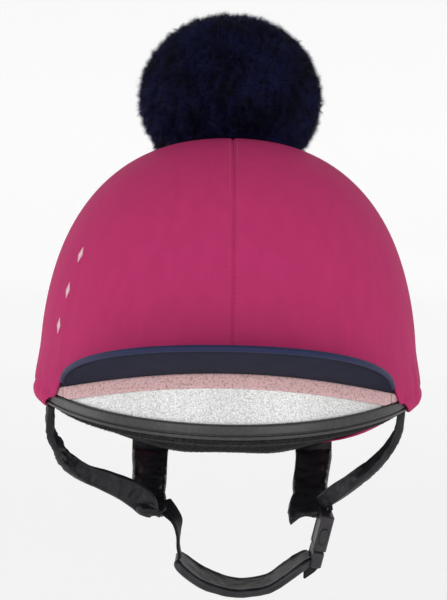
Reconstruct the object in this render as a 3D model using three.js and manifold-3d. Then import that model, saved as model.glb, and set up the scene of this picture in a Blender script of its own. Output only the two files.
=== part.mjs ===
// Jockey cap: a hard skull helmet with a rubber rim and a padded lining. It wears a silk cover
// of four panels with a peak, a hem band and a fur pompom, and has a leather chin harness.
// Millimetres, +Z up. The front faces -Y, and +X is to the right of someone facing the cap.
// The origin is the middle of the head opening, level with the front of the rim.

import * as THREE from 'three';
import { mergeVertices } from 'three/addons/utils/BufferGeometryUtils.js';
import Module from 'manifold-3d';

const wasm = await Module();
wasm.setup();

const DEGREE = Math.PI / 180;

// Crown, measured on the outside of the silk
const CROWN_HALF_WIDTH = 107.6;
const CROWN_HALF_LENGTH = 130;
const CROWN_HEIGHT = 151;

// Powers that square the dome: the side wall stands nearly upright and the top is full
const PROFILE_POWER = 2.62;
const SPREAD_POWER = 2.38;

// Layers, from the outside in
const SILK_THICKNESS = 1.2;
const SILK_GAP = 0.5;
const SHELL_THICKNESS = 3;
const LINING_GAP = 0.55;
const LINING_THICKNESS = 21;
const PIECE_GAP = 0.3;

// Lower edge of the helmet: it rises from the front to the temples and drops to the nape
const RIM_FRONT_HEIGHT = 2;
const TEMPLE_RISE = 6.8;
const NAPE_DROP = 50;
const NAPE_START = 64 * DEGREE;
const NAPE_END = 165 * DEGREE;
const NAPE_TUCK = 0.06;

// Rubber trim: an outer leg on the shell's face and a floor under its edge
const TRIM_HEIGHT = 6.9;
const TRIM_WALL = 1.9;
const TRIM_FLOOR = 1.8;
const TRIM_SECTION = [
  { out: 0, up: 1 },
  { out: 0.7, up: 1 },
  { out: 1, up: 0.88 },
  { out: 1, up: 0.36 },
  { out: 0.5, up: 0.29 },
  { out: 0.95, up: 0.2 },
  { out: 0.85, up: 0.06 },
  { out: 0.4, up: 0 },
];

// Lining lip below the trim
const LIP_DROP = 4.4;
const LINING_SECTION = [
  { inward: 0, drop: 0.7 },
  { inward: 0.12, drop: 1 },
  { inward: 0.5, drop: 1 },
  { inward: 0.85, drop: 0.6 },
];

// Silk cover: how far it flares over the trim, and where its hem folds under
const SILK_RIM_GAP = 0.6;
const SILK_FLARE_REACH = 24;
const SILK_FLARE_START = 36 * DEGREE;
const SILK_FOLD_STEP = 1.5;
const SILK_FOLD_ROWS = 5;
const SILK_WALL_ROWS = 14;
const HEM_COLUMNS = [0, 0.3, 0.55, 0.75, 0.88, 1];
const HEM_FOLD = [
  { inward: 2, up: 0 },
  { inward: 0.8, up: 0.3 },
  { inward: 0.15, up: 1 },
];
const HEM_CORNER_START = 0.75;
const SEAM_GAP = 0.3;
const CROWN_EYELET_RADIUS = 3;

// Peak, hem band and piping
const PEAK_END = 50 * DEGREE;
const SILK_FULL_HEM = 58 * DEGREE;
const PEAK_ROOT_HEIGHT = 32;
const PEAK_ROOT_DROP = 14;
const PEAK_DEPTH = 44;
const PEAK_THICKNESS = 3;
const PEAK_EDGE_THICKNESS = 2.2;
const PEAK_TILT = 18.5 * DEGREE;
const PEAK_CORNER_TILT = 25 * DEGREE;
const PEAK_PLAN_POWER = 3.5;
const PEAK_PLAN_ROUND = 0.6;
const PEAK_BOW = 1.2;
const PIPING_RADIUS = 1.35;
const HEM_BAND_HEIGHT = 6.6;
const HEM_BAND_THICKNESS = 1.8;
const HEM_BAND_END = 52.5 * DEGREE;
const HEM_BAND_SECTION = [
  { out: 0, up: 0.12 },
  { out: 0, up: 0.88 },
  { out: 0.35, up: 1 },
  { out: 0.8, up: 0.97 },
  { out: 1, up: 0.75 },
  { out: 1, up: 0.25 },
  { out: 0.8, up: 0.03 },
  { out: 0.35, up: 0 },
];

// Pompom
const POMPOM_RADIUS = 55;
const POMPOM_FLATTEN = 0.91;
const POMPOM_CENTRE_RISE = 25.5;
const POMPOM_SETBACK = 13;
const LOCK_DEPTH = 4.5;
const LOCK_LEAN = 0.36;
const POMPOM_DETAIL = 4;
const POMPOM_SEAT_GAP = 0.7;
const MERGE_REACH = 0.01;

// Chin harness
const CHIN_DROP = 115;
const FRONT_STRAP_WIDTH = 14;
const REAR_STRAP_WIDTH = 25;
const STRAP_THICKNESS = 4.4;
const STRAP_CORNER = 0.55;
const CHIN_WEB_WIDTH = 15;
const CHIN_WEB_THICKNESS = 2.6;
const CHIN_PAD_WIDTH = 23;
const CHIN_PAD_THICKNESS = 5;
const GUSSET_WIDTH = 25;
const GUSSET_THICKNESS = 6;

// Side release buckle
const BUCKLE_LENGTH = 21.5;
const BUCKLE_WIDTH = 21;
const BUCKLE_THICKNESS = 8.6;
const BUCKLE_CHAMFER = 1.4;
const PLUG_LENGTH = 9.5;
const PLUG_THICKNESS = 7.6;
const TAB_LENGTH = 9.5;
const TAB_WIDTH = 5.2;
const TAB_POCKET_DEPTH = 2;
const TAB_PROUD = 0.6;
const TAB_PLACE = 0.57;
const TAB_ROUND = 0.75;

// Strap stations. across is a share of the crown's half width, along of its half length and
// down of the chin drop; wide and thick are shares of the strap's own size. turn and lean, in
// degrees, aim the strap's width: turn round the vertical from +X, lean up from level.
const FRONT_STRAP_LEFT = [
  { across: -0.868, along: -0.415, down: 0.0, wide: 1.0, thick: 1.0, turn: 100, lean: 0 },
  { across: -0.872, along: -0.385, down: 0.09, wide: 1.0, thick: 1.0, turn: 98, lean: 0 },
  { across: -0.85, along: -0.338, down: 0.165, wide: 1.0, thick: 1.0, turn: 95, lean: 5 },
  { across: -0.818, along: -0.277, down: 0.25, wide: 0.8, thick: 1.05, turn: 80, lean: 18 },
  { across: -0.74, along: -0.192, down: 0.332, wide: 0.72, thick: 1.1, turn: 50, lean: 34 },
  { across: -0.647, along: -0.108, down: 0.39, wide: 0.85, thick: 1.15, turn: 25, lean: 46 },
  { across: -0.545, along: -0.031, down: 0.455, wide: 0.95, thick: 1.15, turn: 8, lean: 52 },
  { across: -0.46, along: 0.03, down: 0.52, wide: 0.9, thick: 1.1, turn: 5, lean: 55 },
];
const FRONT_STRAP_RIGHT = [
  { across: 0.858, along: -0.415, down: 0.0, wide: 0.95, thick: 1.0, turn: 80, lean: 0 },
  { across: 0.838, along: -0.385, down: 0.09, wide: 0.95, thick: 1.0, turn: 82, lean: 0 },
  { across: 0.776, along: -0.292, down: 0.22, wide: 0.85, thick: 1.0, turn: 88, lean: 8 },
  { across: 0.669, along: -0.154, down: 0.36, wide: 0.7, thick: 1.05, turn: 110, lean: 20 },
  { across: 0.598, along: -0.046, down: 0.448, wide: 0.72, thick: 1.1, turn: 130, lean: 28 },
  { across: 0.53, along: 0.085, down: 0.545, wide: 0.75, thick: 1.1, turn: 140, lean: 34 },
];
const REAR_STRAP_LEFT = [
  { across: -0.49, along: 0.775, down: 0.0, wide: 1.0, thick: 1.0, turn: -14, lean: 0 },
  { across: -0.485, along: 0.7, down: 0.455, wide: 0.98, thick: 1.0, turn: -10, lean: 0 },
  { across: -0.47, along: 0.56, down: 0.505, wide: 0.92, thick: 1.05, turn: -6, lean: 0 },
  { across: -0.458, along: 0.4, down: 0.536, wide: 0.9, thick: 1.1, turn: -3, lean: 0 },
  { across: -0.453, along: 0.265, down: 0.553, wide: 0.88, thick: 1.05, turn: -2, lean: 0 },
];
const REAR_STRAP_RIGHT = [
  { across: 0.56, along: 0.745, down: 0.0, wide: 1.0, thick: 1.0, turn: 18, lean: 0 },
  { across: 0.555, along: 0.68, down: 0.435, wide: 0.98, thick: 1.0, turn: 14, lean: 0 },
  { across: 0.53, along: 0.54, down: 0.49, wide: 0.92, thick: 1.05, turn: 8, lean: 0 },
  { across: 0.505, along: 0.4, down: 0.53, wide: 0.9, thick: 1.1, turn: 2, lean: 0 },
  { across: 0.49, along: 0.2, down: 0.56, wide: 0.9, thick: 1.1, turn: -4, lean: 0 },
];
const GUSSET_LEFT = [
  { across: -0.452, along: 0.26, down: 0.553, wide: 0.88, thick: 0.9, turn: -2, lean: 0 },
  { across: -0.445, along: 0.17, down: 0.56, wide: 0.95, thick: 1.0, turn: -4, lean: -6 },
  { across: -0.43, along: 0.09, down: 0.566, wide: 0.95, thick: 1.05, turn: -6, lean: -14 },
  { across: -0.41, along: 0.03, down: 0.576, wide: 0.8, thick: 1.0, turn: -8, lean: -22 },
  { across: -0.39, along: 0.0, down: 0.587, wide: 0.5, thick: 0.8, turn: -10, lean: -26 },
];
const GUSSET_RIGHT = [
  { across: 0.495, along: 0.26, down: 0.545, wide: 0.88, thick: 0.9, turn: -4, lean: 0 },
  { across: 0.487, along: 0.185, down: 0.558, wide: 0.98, thick: 1.0, turn: -1, lean: 2 },
  { across: 0.465, along: 0.12, down: 0.578, wide: 0.98, thick: 1.0, turn: 3, lean: 8 },
  { across: 0.437, along: 0.085, down: 0.6, wide: 0.9, thick: 1.0, turn: 6, lean: 14 },
  { across: 0.412, along: 0.075, down: 0.622, wide: 0.68, thick: 0.85, turn: 8, lean: 20 },
];
const CHIN_WEB_LEFT = [
  { across: -0.36, along: 0.12, down: 0.56, wide: 0.95, thick: 1.0, turn: 35, lean: 0 },
  { across: -0.315, along: 0.085, down: 0.595, wide: 1.0, thick: 1.0, turn: 55, lean: 0 },
  { across: -0.27, along: 0.05, down: 0.64, wide: 1.0, thick: 1.0, turn: 75, lean: 0 },
  { across: -0.256, along: 0.03, down: 0.7, wide: 1.0, thick: 1.0, turn: 88, lean: 0 },
  { across: -0.254, along: 0.02, down: 0.76, wide: 1.0, thick: 1.0, turn: 92, lean: 0 },
  { across: -0.24, along: 0.01, down: 0.815, wide: 1.0, thick: 1.0, turn: 95, lean: 0 },
  { across: -0.21, along: 0.01, down: 0.86, wide: 1.0, thick: 1.0, turn: 95, lean: 0 },
];
const CHIN_PAD = [
  { across: -0.262, along: 0.008, down: 0.81, wide: 0.8, thick: 0.8, turn: 92, lean: 4 },
  { across: -0.225, along: 0.008, down: 0.848, wide: 0.97, thick: 1.0, turn: 92, lean: 5 },
  { across: -0.12, along: 0.008, down: 0.916, wide: 1.0, thick: 1.0, turn: 92, lean: 6 },
  { across: 0.0, along: 0.008, down: 0.956, wide: 0.96, thick: 0.95, turn: 91, lean: 4 },
  { across: 0.105, along: 0.008, down: 0.967, wide: 0.94, thick: 0.92, turn: 90, lean: 2 },
  { across: 0.245, along: 0.008, down: 0.942, wide: 0.94, thick: 0.92, turn: 89, lean: 3 },
  { across: 0.33, along: 0.008, down: 0.89, wide: 0.97, thick: 0.95, turn: 88, lean: 5 },
  { across: 0.405, along: 0.008, down: 0.836, wide: 0.97, thick: 0.95, turn: 88, lean: 5 },
  { across: 0.475, along: 0.012, down: 0.79, wide: 0.8, thick: 0.75, turn: 88, lean: 4 },
];
const CHIN_WEB_RIGHT = [
  { across: 0.573, along: 0.012, down: 0.515, wide: 0.55, thick: 1.0, turn: 95, lean: 0 },
  { across: 0.577, along: 0.005, down: 0.54, wide: 0.62, thick: 1.0, turn: 92, lean: 0 },
  { across: 0.577, along: 0.0, down: 0.6, wide: 0.7, thick: 1.0, turn: 90, lean: 0 },
];
const STRAP_TAIL = [
  { across: 0.512, along: 0.005, down: 0.842, wide: 0.9, thick: 1.0, turn: 50, lean: 0 },
  { across: 0.498, along: 0.0, down: 0.862, wide: 0.8, thick: 1.0, turn: 42, lean: 0 },
  { across: 0.478, along: -0.005, down: 0.897, wide: 0.15, thick: 0.8, turn: 34, lean: 0 },
];
const BUCKLE_TOP = { across: 0.577, along: 0.0, down: 0.56 };
const BUCKLE_FOOT = { across: 0.533, along: 0.005, down: 0.8 };

// Mesh density
const ROUND_COLUMNS = 36;
const BOWL_ROWS = 9;
const BOWL_FIRST_ROW = 0.2;
const PEAK_COLUMNS = 20;
const PEAK_ROWS = 4;
const PIPE_SIDES = 8;
const TAB_SIDES = 16;
const MERIDIAN_STEPS = 48;

// Places of the layers, as distances outwards from the outside of the silk
const SHELL_OUT = -(SILK_THICKNESS + SILK_GAP);
const LINING_OUT = SHELL_OUT - SHELL_THICKNESS - LINING_GAP;
const TRIM_FACE_OUT = SHELL_OUT + PIECE_GAP + TRIM_WALL;
const SILK_MIDDLE_OUT = -SILK_THICKNESS / 2;
const SILK_FLARE = TRIM_FACE_OUT + SILK_RIM_GAP + SILK_THICKNESS;

const clamp = THREE.MathUtils.clamp;
const lerp = THREE.MathUtils.lerp;

function smooth(value) {
  const share = clamp(value, 0, 1);
  return share * share * (3 - 2 * share);
}

// Point of the dome at a turn from the front and a height, moved outwards by out
function domePoint(turn, height, out) {
  const share = height / (CROWN_HEIGHT + out);
  let spread = 1 - NAPE_TUCK * (height / NAPE_DROP) ** 2;
  if (share > 0) {
    spread = Math.max(0, 1 - share ** PROFILE_POWER) ** (1 / SPREAD_POWER);
  }
  const x = (CROWN_HALF_WIDTH + out) * spread * Math.sin(turn);
  const y = -(CROWN_HALF_LENGTH + out) * spread * Math.cos(turn);
  return new THREE.Vector3(x, y, height);
}

// Height of the dome's surface over a point of the plan
function domeHeight(x, y, out) {
  const spread = Math.hypot(x / (CROWN_HALF_WIDTH + out), y / (CROWN_HALF_LENGTH + out));
  const share = Math.max(0, 1 - spread ** SPREAD_POWER) ** (1 / PROFILE_POWER);
  return (CROWN_HEIGHT + out) * share;
}

// Underside of the rim trim
function rimHeight(turn) {
  const side = Math.abs(turn);
  const drop = NAPE_DROP * smooth((side - NAPE_START) / (NAPE_END - NAPE_START));
  return RIM_FRONT_HEIGHT + TEMPLE_RISE * Math.sin(side) ** 2 - drop;
}

// Underside of the peak where it meets the shell
function rootHeight(turn) {
  const share = Math.sin(turn) / Math.sin(PEAK_END);
  return PEAK_ROOT_HEIGHT - PEAK_ROOT_DROP * share * share;
}

// Closed body through a row of loops with equal counts. Open ends are closed across the loop,
// from each point to the one that mirrors it. Faces are turned to point outwards.
function loft(loops, joinEnds = false) {
  const count = loops[0].length;
  const positions = loops.flat().flatMap((point) => [point.x, point.y, point.z]);
  const triangles = [];
  const bands = joinEnds ? loops.length : loops.length - 1;
  const at = (loop, step) => (loop % loops.length) * count + (step % count);
  for (let loop = 0; loop < bands; loop += 1) {
    for (let step = 0; step < count; step += 1) {
      triangles.push(at(loop, step), at(loop, step + 1), at(loop + 1, step + 1));
      triangles.push(at(loop, step), at(loop + 1, step + 1), at(loop + 1, step));
    }
  }
  if (!joinEnds) {
    const last = loops.length - 1;
    for (let step = 0; step < count / 2 - 1; step += 1) {
      const mirror = count - 1 - step;
      triangles.push(at(0, step), at(0, mirror), at(0, step + 1));
      triangles.push(at(0, step + 1), at(0, mirror), at(0, mirror - 1));
      triangles.push(at(last, step), at(last, step + 1), at(last, mirror));
      triangles.push(at(last, step + 1), at(last, mirror - 1), at(last, mirror));
    }
  }
  return outward(positions, triangles);
}

// Geometry from points and triangles, its faces turned so that its volume is positive
function outward(positions, triangles) {
  const point = (index) => new THREE.Vector3().fromArray(positions, 3 * index);
  let volume = 0;
  for (let index = 0; index < triangles.length; index += 3) {
    const [a, b, c] = triangles.slice(index, index + 3).map(point);
    volume += a.dot(b.cross(c));
  }
  if (volume < 0) {
    triangles.reverse();
  }
  const geometry = new THREE.BufferGeometry();
  geometry.setAttribute('position', new THREE.Float32BufferAttribute(positions, 3));
  geometry.setIndex(triangles);
  return geometry;
}

function toManifold(geometry) {
  const bare = geometry.clone();
  bare.deleteAttribute('normal');
  bare.deleteAttribute('uv');
  const merged = mergeVertices(bare);
  const vertProperties = new Float32Array(merged.attributes.position.array);
  const triVerts = new Uint32Array(merged.index.array);
  return new wasm.Manifold(new wasm.Mesh({ numProp: 3, vertProperties, triVerts }));
}

// What is left of a geometry once the cutters are taken away
function cutBy(geometry, cutters) {
  let solid = toManifold(geometry);
  for (const cutter of cutters) {
    solid = solid.subtract(toManifold(cutter));
  }
  const mesh = solid.getMesh();
  const result = new THREE.BufferGeometry();
  result.setAttribute('position', new THREE.Float32BufferAttribute(mesh.vertProperties, 3));
  result.setIndex([...mesh.triVerts]);
  return result;
}

function roundTurns() {
  const step = (2 * Math.PI) / ROUND_COLUMNS;
  return Array.from({ length: ROUND_COLUMNS }, (_, column) => column * step - Math.PI);
}

// Rows of a bowl's wall, from just above its edge to near the top
function bowlRows(out, edgeHeight) {
  const turns = roundTurns();
  return Array.from({ length: BOWL_ROWS }, (_, row) => {
    const quarter = (Math.PI / 2) * ((row + BOWL_FIRST_ROW) / BOWL_ROWS);
    const share = Math.sin(quarter) ** (2 / PROFILE_POWER);
    return turns.map((turn) => {
      const low = edgeHeight(turn);
      return domePoint(turn, lerp(low, CROWN_HEIGHT + out, share), out);
    });
  });
}

// Lower edge of the shell, just above the floor of the trim
function shellEdge(turn) {
  return rimHeight(turn) + TRIM_FLOOR + PIECE_GAP;
}

function shellGeometry() {
  const ring = (out) => roundTurns().map((turn) => domePoint(turn, shellEdge(turn), out));
  const inside = SHELL_OUT - SHELL_THICKNESS;
  const inner = [ring(inside), ...bowlRows(inside, shellEdge)];
  const outer = [ring(SHELL_OUT), ...bowlRows(SHELL_OUT, shellEdge)];
  return loft([...inner.reverse(), ...outer]);
}

function liningGeometry() {
  const inside = LINING_OUT - LINING_THICKNESS;
  const lip = LINING_SECTION.map((row) => roundTurns().map((turn) => {
    const height = rimHeight(turn) - LIP_DROP * row.drop;
    return domePoint(turn, height, LINING_OUT - LINING_THICKNESS * row.inward);
  }));
  const inner = bowlRows(inside, shellEdge);
  const outer = bowlRows(LINING_OUT, shellEdge);
  return loft([...inner.reverse(), ...lip.reverse(), ...outer]);
}

function trimGeometry() {
  const face = TRIM_SECTION.map((row) => ({
    out: SHELL_OUT + PIECE_GAP + TRIM_WALL * row.out,
    up: TRIM_HEIGHT * row.up,
  }));
  const foot = SHELL_OUT - SHELL_THICKNESS;
  const section = [
    ...face,
    { out: foot, up: 0 },
    { out: foot, up: TRIM_FLOOR },
    { out: SHELL_OUT + PIECE_GAP, up: TRIM_FLOOR },
  ];
  const loops = roundTurns().map((turn) => section.map(
    (row) => domePoint(turn, rimHeight(turn) + row.up, row.out),
  ));
  return loft(loops, true);
}

// Middle of the silk from its hem to the top at one turn. The hem is folded under the trim.
function silkMeridian(turn) {
  const side = Math.abs(turn);
  const flare = SILK_FLARE * smooth((side - SILK_FLARE_START) / (PEAK_END - SILK_FLARE_START));
  const rim = rimHeight(turn);
  const clear = SILK_RIM_GAP + SILK_THICKNESS / 2;
  const under = rim - clear;
  const face = SILK_MIDDLE_OUT + flare;
  const points = [
    domePoint(turn, under, SHELL_OUT - SHELL_THICKNESS + PIECE_GAP),
    ...HEM_FOLD.map((row) => (
      domePoint(turn, under + clear * row.up, face - clear * row.inward)
    )),
  ];
  const trimTop = rim + TRIM_HEIGHT;
  const topOut = SILK_MIDDLE_OUT;
  const eyelet = (CROWN_EYELET_RADIUS / CROWN_HALF_WIDTH) ** SPREAD_POWER;
  const top = (CROWN_HEIGHT + topOut) * (1 - eyelet) ** (1 / PROFILE_POWER);
  for (let step = 0; step <= MERIDIAN_STEPS; step += 1) {
    const quarter = (Math.PI / 2) * (step / MERIDIAN_STEPS);
    const share = Math.sin(quarter) ** (2 / PROFILE_POWER);
    const height = lerp(under + 2 * clear, top, share);
    const swell = flare * (1 - smooth((height - trimTop) / SILK_FLARE_REACH));
    const base = domePoint(turn, height, topOut);
    const moved = domePoint(turn, Math.min(height, CROWN_HEIGHT / 2), topOut + swell);
    const flat = domePoint(turn, Math.min(height, CROWN_HEIGHT / 2), topOut);
    points.push(base.add(moved.sub(flat)));
  }
  return points;
}

function lengthsAlong(points) {
  const lengths = [0];
  for (let index = 1; index < points.length; index += 1) {
    lengths.push(lengths[index - 1] + points[index].distanceTo(points[index - 1]));
  }
  return lengths;
}

function pointAlong(points, lengths, distance) {
  let index = 1;
  while (index < points.length - 1 && lengths[index] < distance) {
    index += 1;
  }
  const share = (distance - lengths[index - 1]) / (lengths[index] - lengths[index - 1]);
  return points[index - 1].clone().lerp(points[index], clamp(share, 0, 1));
}

// Loop of one column of a silk panel: outside from hem to top, then inside back to the hem
function silkColumn(turn, shift) {
  const points = silkMeridian(turn);
  const lengths = lengthsAlong(points);
  const total = lengths[lengths.length - 1];
  const side = Math.abs(turn);
  const corner = smooth((side / PEAK_END - HEM_CORNER_START) / (1 - HEM_CORNER_START));
  const edge = rootHeight(Math.min(side, PEAK_END)) + PEAK_THICKNESS + SILK_GAP
    + 2 * PIPING_RADIUS * corner;
  const above = points.findIndex((point, index) => index > HEM_FOLD.length && point.z > edge);
  const climb = (edge - points[above - 1].z) / (points[above].z - points[above - 1].z);
  const edgeLength = lerp(lengths[above - 1], lengths[above], climb);
  const open = 1 - smooth((side - PEAK_END) / (SILK_FULL_HEM - PEAK_END));
  const start = edgeLength * open;
  const fold = SILK_FOLD_STEP * SILK_FOLD_ROWS;
  const distances = [];
  for (let row = 0; row < SILK_FOLD_ROWS; row += 1) {
    distances.push(start + SILK_FOLD_STEP * row);
  }
  for (let row = 0; row <= SILK_WALL_ROWS; row += 1) {
    distances.push(lerp(start + fold, total, row / SILK_WALL_ROWS));
  }
  const around = new THREE.Vector3(
    CROWN_HALF_WIDTH * Math.cos(turn),
    CROWN_HALF_LENGTH * Math.sin(turn),
    0,
  ).normalize();
  const outside = [];
  const inside = [];
  for (const distance of distances) {
    const middle = pointAlong(points, lengths, distance);
    const reach = SILK_THICKNESS / 2;
    const before = pointAlong(points, lengths, Math.max(0, distance - reach));
    const after = pointAlong(points, lengths, Math.min(total, distance + reach));
    const normal = around.clone().cross(after.sub(before)).normalize();
    const half = normal.multiplyScalar(SILK_THICKNESS / 2);
    outside.push(middle.clone().add(half).add(shift));
    inside.push(middle.clone().sub(half).add(shift));
  }
  return [...outside, ...inside.reverse()];
}

// Panel of the left half between two turns, or its mirror image
function silkPanelGeometry(firstTurn, lastTurn, mirrored) {
  const step = (2 * Math.PI) / ROUND_COLUMNS;
  const turns = [];
  for (let turn = firstTurn; turn < lastTurn + step / 2; turn += step) {
    turns.push(turn);
  }
  const inRange = (turn) => turn > firstTurn && turn < lastTurn;
  const corners = HEM_COLUMNS.map((share) => -lerp(PEAK_END, SILK_FULL_HEM, share));
  turns.push(...corners.filter(inRange));
  turns.sort((a, b) => a - b);
  const middle = (firstTurn + lastTurn) / 2;
  const shift = new THREE.Vector3(
    (Math.sign(Math.sin(middle)) * SEAM_GAP) / 2,
    (-Math.sign(Math.cos(middle)) * SEAM_GAP) / 2,
    0,
  );
  const side = new THREE.Vector3(mirrored ? -1 : 1, 1, 1);
  return loft(turns.map((turn) => (
    silkColumn(turn, shift).map((point) => point.multiply(side))
  )));
}

// Where the peak's underside meets the shell. side runs from -1 to 1 along its root.
function peakRoot(side) {
  const turn = side * PEAK_END;
  return domePoint(turn, rootHeight(turn), SHELL_OUT + PIECE_GAP);
}

// Middle of the piping that follows the peak's outline
function pipingPoint(side) {
  const root = peakRoot(side);
  const tilt = lerp(PEAK_TILT, PEAK_CORNER_TILT, side * side);
  const spread = Math.abs(Math.sin(side * PEAK_END) / Math.sin(PEAK_END));
  const fall = Math.max(0, 1 - spread ** PEAK_PLAN_POWER) ** PEAK_PLAN_ROUND;
  const length = lerp(2 * PIPING_RADIUS, PEAK_DEPTH - PIPING_RADIUS, fall);
  const rise = length * Math.tan(tilt) + PEAK_EDGE_THICKNESS / 2;
  return new THREE.Vector3(root.x, root.y - length, root.z + rise);
}

function peakSides() {
  return Array.from({ length: PEAK_COLUMNS + 1 }, (_, column) => (
    Math.sin((Math.PI / 2) * ((2 * column) / PEAK_COLUMNS - 1))
  ));
}

// Piping's stations: the point, the way ahead, the way up and the way inwards to the peak
function pipingFrames() {
  const path = peakSides().map(pipingPoint);
  return path.map((point, index) => {
    const before = path[Math.max(0, index - 1)];
    const after = path[Math.min(path.length - 1, index + 1)];
    const ahead = after.clone().sub(before).normalize();
    const up = new THREE.Vector3(0, 0, 1).addScaledVector(ahead, -ahead.z).normalize();
    const inward = up.clone().cross(ahead);
    return { point, up, inward };
  });
}

function peakGeometry() {
  const frames = pipingFrames();
  const loops = peakSides().map((side, column) => {
    const root = peakRoot(side);
    const { point, inward } = frames[column];
    const edge = point.clone().addScaledVector(inward, PIPING_RADIUS + PIECE_GAP);
    edge.z -= PEAK_EDGE_THICKNESS / 2;
    const bow = PEAK_BOW * (edge.distanceTo(root) / PEAK_DEPTH) ** 2;
    const upper = [];
    const lower = [];
    for (let row = 0; row <= PEAK_ROWS; row += 1) {
      const reach = row / PEAK_ROWS;
      const under = root.clone().lerp(edge, reach);
      under.z -= bow * Math.sin(Math.PI * reach);
      lower.push(under);
      const thick = lerp(PEAK_THICKNESS, PEAK_EDGE_THICKNESS, reach);
      upper.push(under.clone().add(new THREE.Vector3(0, 0, thick)));
    }
    return [...upper, ...lower.reverse()];
  });
  return loft(loops);
}

function pipingGeometry() {
  const loops = pipingFrames().map(({ point, up, inward }) => (
    Array.from({ length: PIPE_SIDES }, (_, step) => {
      const angle = (2 * Math.PI * (step + 0.5)) / PIPE_SIDES;
      return point.clone()
        .addScaledVector(inward, PIPING_RADIUS * Math.cos(angle))
        .addScaledVector(up, PIPING_RADIUS * Math.sin(angle));
    })
  ));
  return loft(loops);
}

function hemBandGeometry() {
  const loops = Array.from({ length: PEAK_COLUMNS + 1 }, (_, column) => {
    const turn = HEM_BAND_END * ((2 * column) / PEAK_COLUMNS - 1);
    const top = rootHeight(turn) - PIECE_GAP;
    const trimTop = rimHeight(turn) + TRIM_HEIGHT + PIECE_GAP;
    const low = Math.max(top - HEM_BAND_HEIGHT, trimTop);
    return HEM_BAND_SECTION.map((row) => domePoint(
      turn,
      lerp(low, top, row.up),
      SHELL_OUT + PIECE_GAP + HEM_BAND_THICKNESS * row.out,
    ));
  });
  return loft(loops);
}

// Fur ball: each face of a round core carries one lock, a low pyramid that leans with the pile
function pompomGeometry() {
  const centre = new THREE.Vector3(0, POMPOM_SETBACK, CROWN_HEIGHT + POMPOM_CENTRE_RISE);
  const core = new THREE.IcosahedronGeometry(POMPOM_RADIUS - LOCK_DEPTH, POMPOM_DETAIL);
  core.deleteAttribute('normal');
  core.deleteAttribute('uv');
  const merged = mergeVertices(core, MERGE_REACH);
  const source = merged.attributes.position;
  const seat = (point) => {
    const floor = domeHeight(point.x, point.y, 0) + POMPOM_SEAT_GAP;
    point.z = Math.max(point.z, floor);
    return point;
  };
  const points = [];
  for (let index = 0; index < source.count; index += 1) {
    const point = new THREE.Vector3().fromBufferAttribute(source, index);
    point.z *= POMPOM_FLATTEN;
    points.push(seat(point.add(centre)));
  }
  const triangles = [];
  for (let face = 0; face < merged.index.count; face += 3) {
    const corners = [0, 1, 2].map((step) => merged.index.getX(face + step));
    const middle = new THREE.Vector3();
    corners.forEach((corner) => middle.addScaledVector(points[corner], 1 / 3));
    const radial = middle.clone().sub(centre);
    const sweep = new THREE.Vector3(Math.sin(face), Math.cos(2 * face), Math.sin(3 * face));
    const tip = radial.clone().setLength(radial.length() + LOCK_DEPTH).add(centre);
    tip.addScaledVector(sweep, LOCK_DEPTH * LOCK_LEAN);
    const floor = domeHeight(tip.x, tip.y, 0) + 2 * POMPOM_SEAT_GAP;
    if (tip.z > floor) {
      points.push(tip);
      const last = points.length - 1;
      corners.forEach((corner, step) => {
        triangles.push(corner, corners[(step + 1) % 3], last);
      });
    } else {
      triangles.push(...corners);
    }
  }
  return outward(points.flatMap((point) => [point.x, point.y, point.z]), triangles);
}

function stationPoint(row) {
  return new THREE.Vector3(
    CROWN_HALF_WIDTH * row.across,
    CROWN_HALF_LENGTH * row.along,
    -CHIN_DROP * row.down,
  );
}

// Strap through its stations. grow makes the same strap larger all round, to cut others with.
function strapGeometry(rows, width, thickness, grow = 0) {
  const path = rows.map(stationPoint);
  const loops = path.map((point, index) => {
    const before = path[Math.max(0, index - 1)];
    const after = path[Math.min(path.length - 1, index + 1)];
    const ahead = after.clone().sub(before).normalize();
    const row = rows[index];
    const level = Math.cos(row.lean * DEGREE);
    const aim = new THREE.Vector3(
      level * Math.cos(row.turn * DEGREE),
      level * Math.sin(row.turn * DEGREE),
      Math.sin(row.lean * DEGREE),
    );
    const across = aim.addScaledVector(ahead, -aim.dot(ahead)).normalize();
    const face = ahead.clone().cross(across);
    const halfWidth = (width * row.wide) / 2 + grow;
    const halfThick = (thickness * row.thick) / 2 + grow;
    const corner = STRAP_CORNER * Math.min(halfThick, halfWidth);
    const centre = point.clone();
    if (index === 0) {
      centre.addScaledVector(ahead, -grow);
    }
    if (index === path.length - 1) {
      centre.addScaledVector(ahead, grow);
    }
    const section = [
      [-halfWidth, halfThick - corner], [-halfWidth + corner, halfThick],
      [halfWidth - corner, halfThick], [halfWidth, halfThick - corner],
      [halfWidth, corner - halfThick], [halfWidth - corner, -halfThick],
      [corner - halfWidth, -halfThick], [-halfWidth, corner - halfThick],
    ];
    return section.map(([side, depth]) => centre.clone()
      .addScaledVector(across, side)
      .addScaledVector(face, depth));
  });
  return loft(loops);
}

// Strap whose first station hangs just below the lining's lip
function hungStrap(rows, width, grow) {
  const first = rows[0];
  const turn = Math.atan2(first.across, -first.along);
  const lip = rimHeight(turn) - LIP_DROP;
  const reach = (width / 2) * Math.abs(rimHeight(turn + DEGREE) - rimHeight(turn - DEGREE))
    / (2 * DEGREE * CROWN_HALF_WIDTH);
  const down = -(lip - PIECE_GAP - reach - STRAP_THICKNESS / 2) / CHIN_DROP;
  const hung = [{ ...first, down }, ...rows.slice(1)];
  return strapGeometry(hung, width, STRAP_THICKNESS, grow);
}

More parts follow.
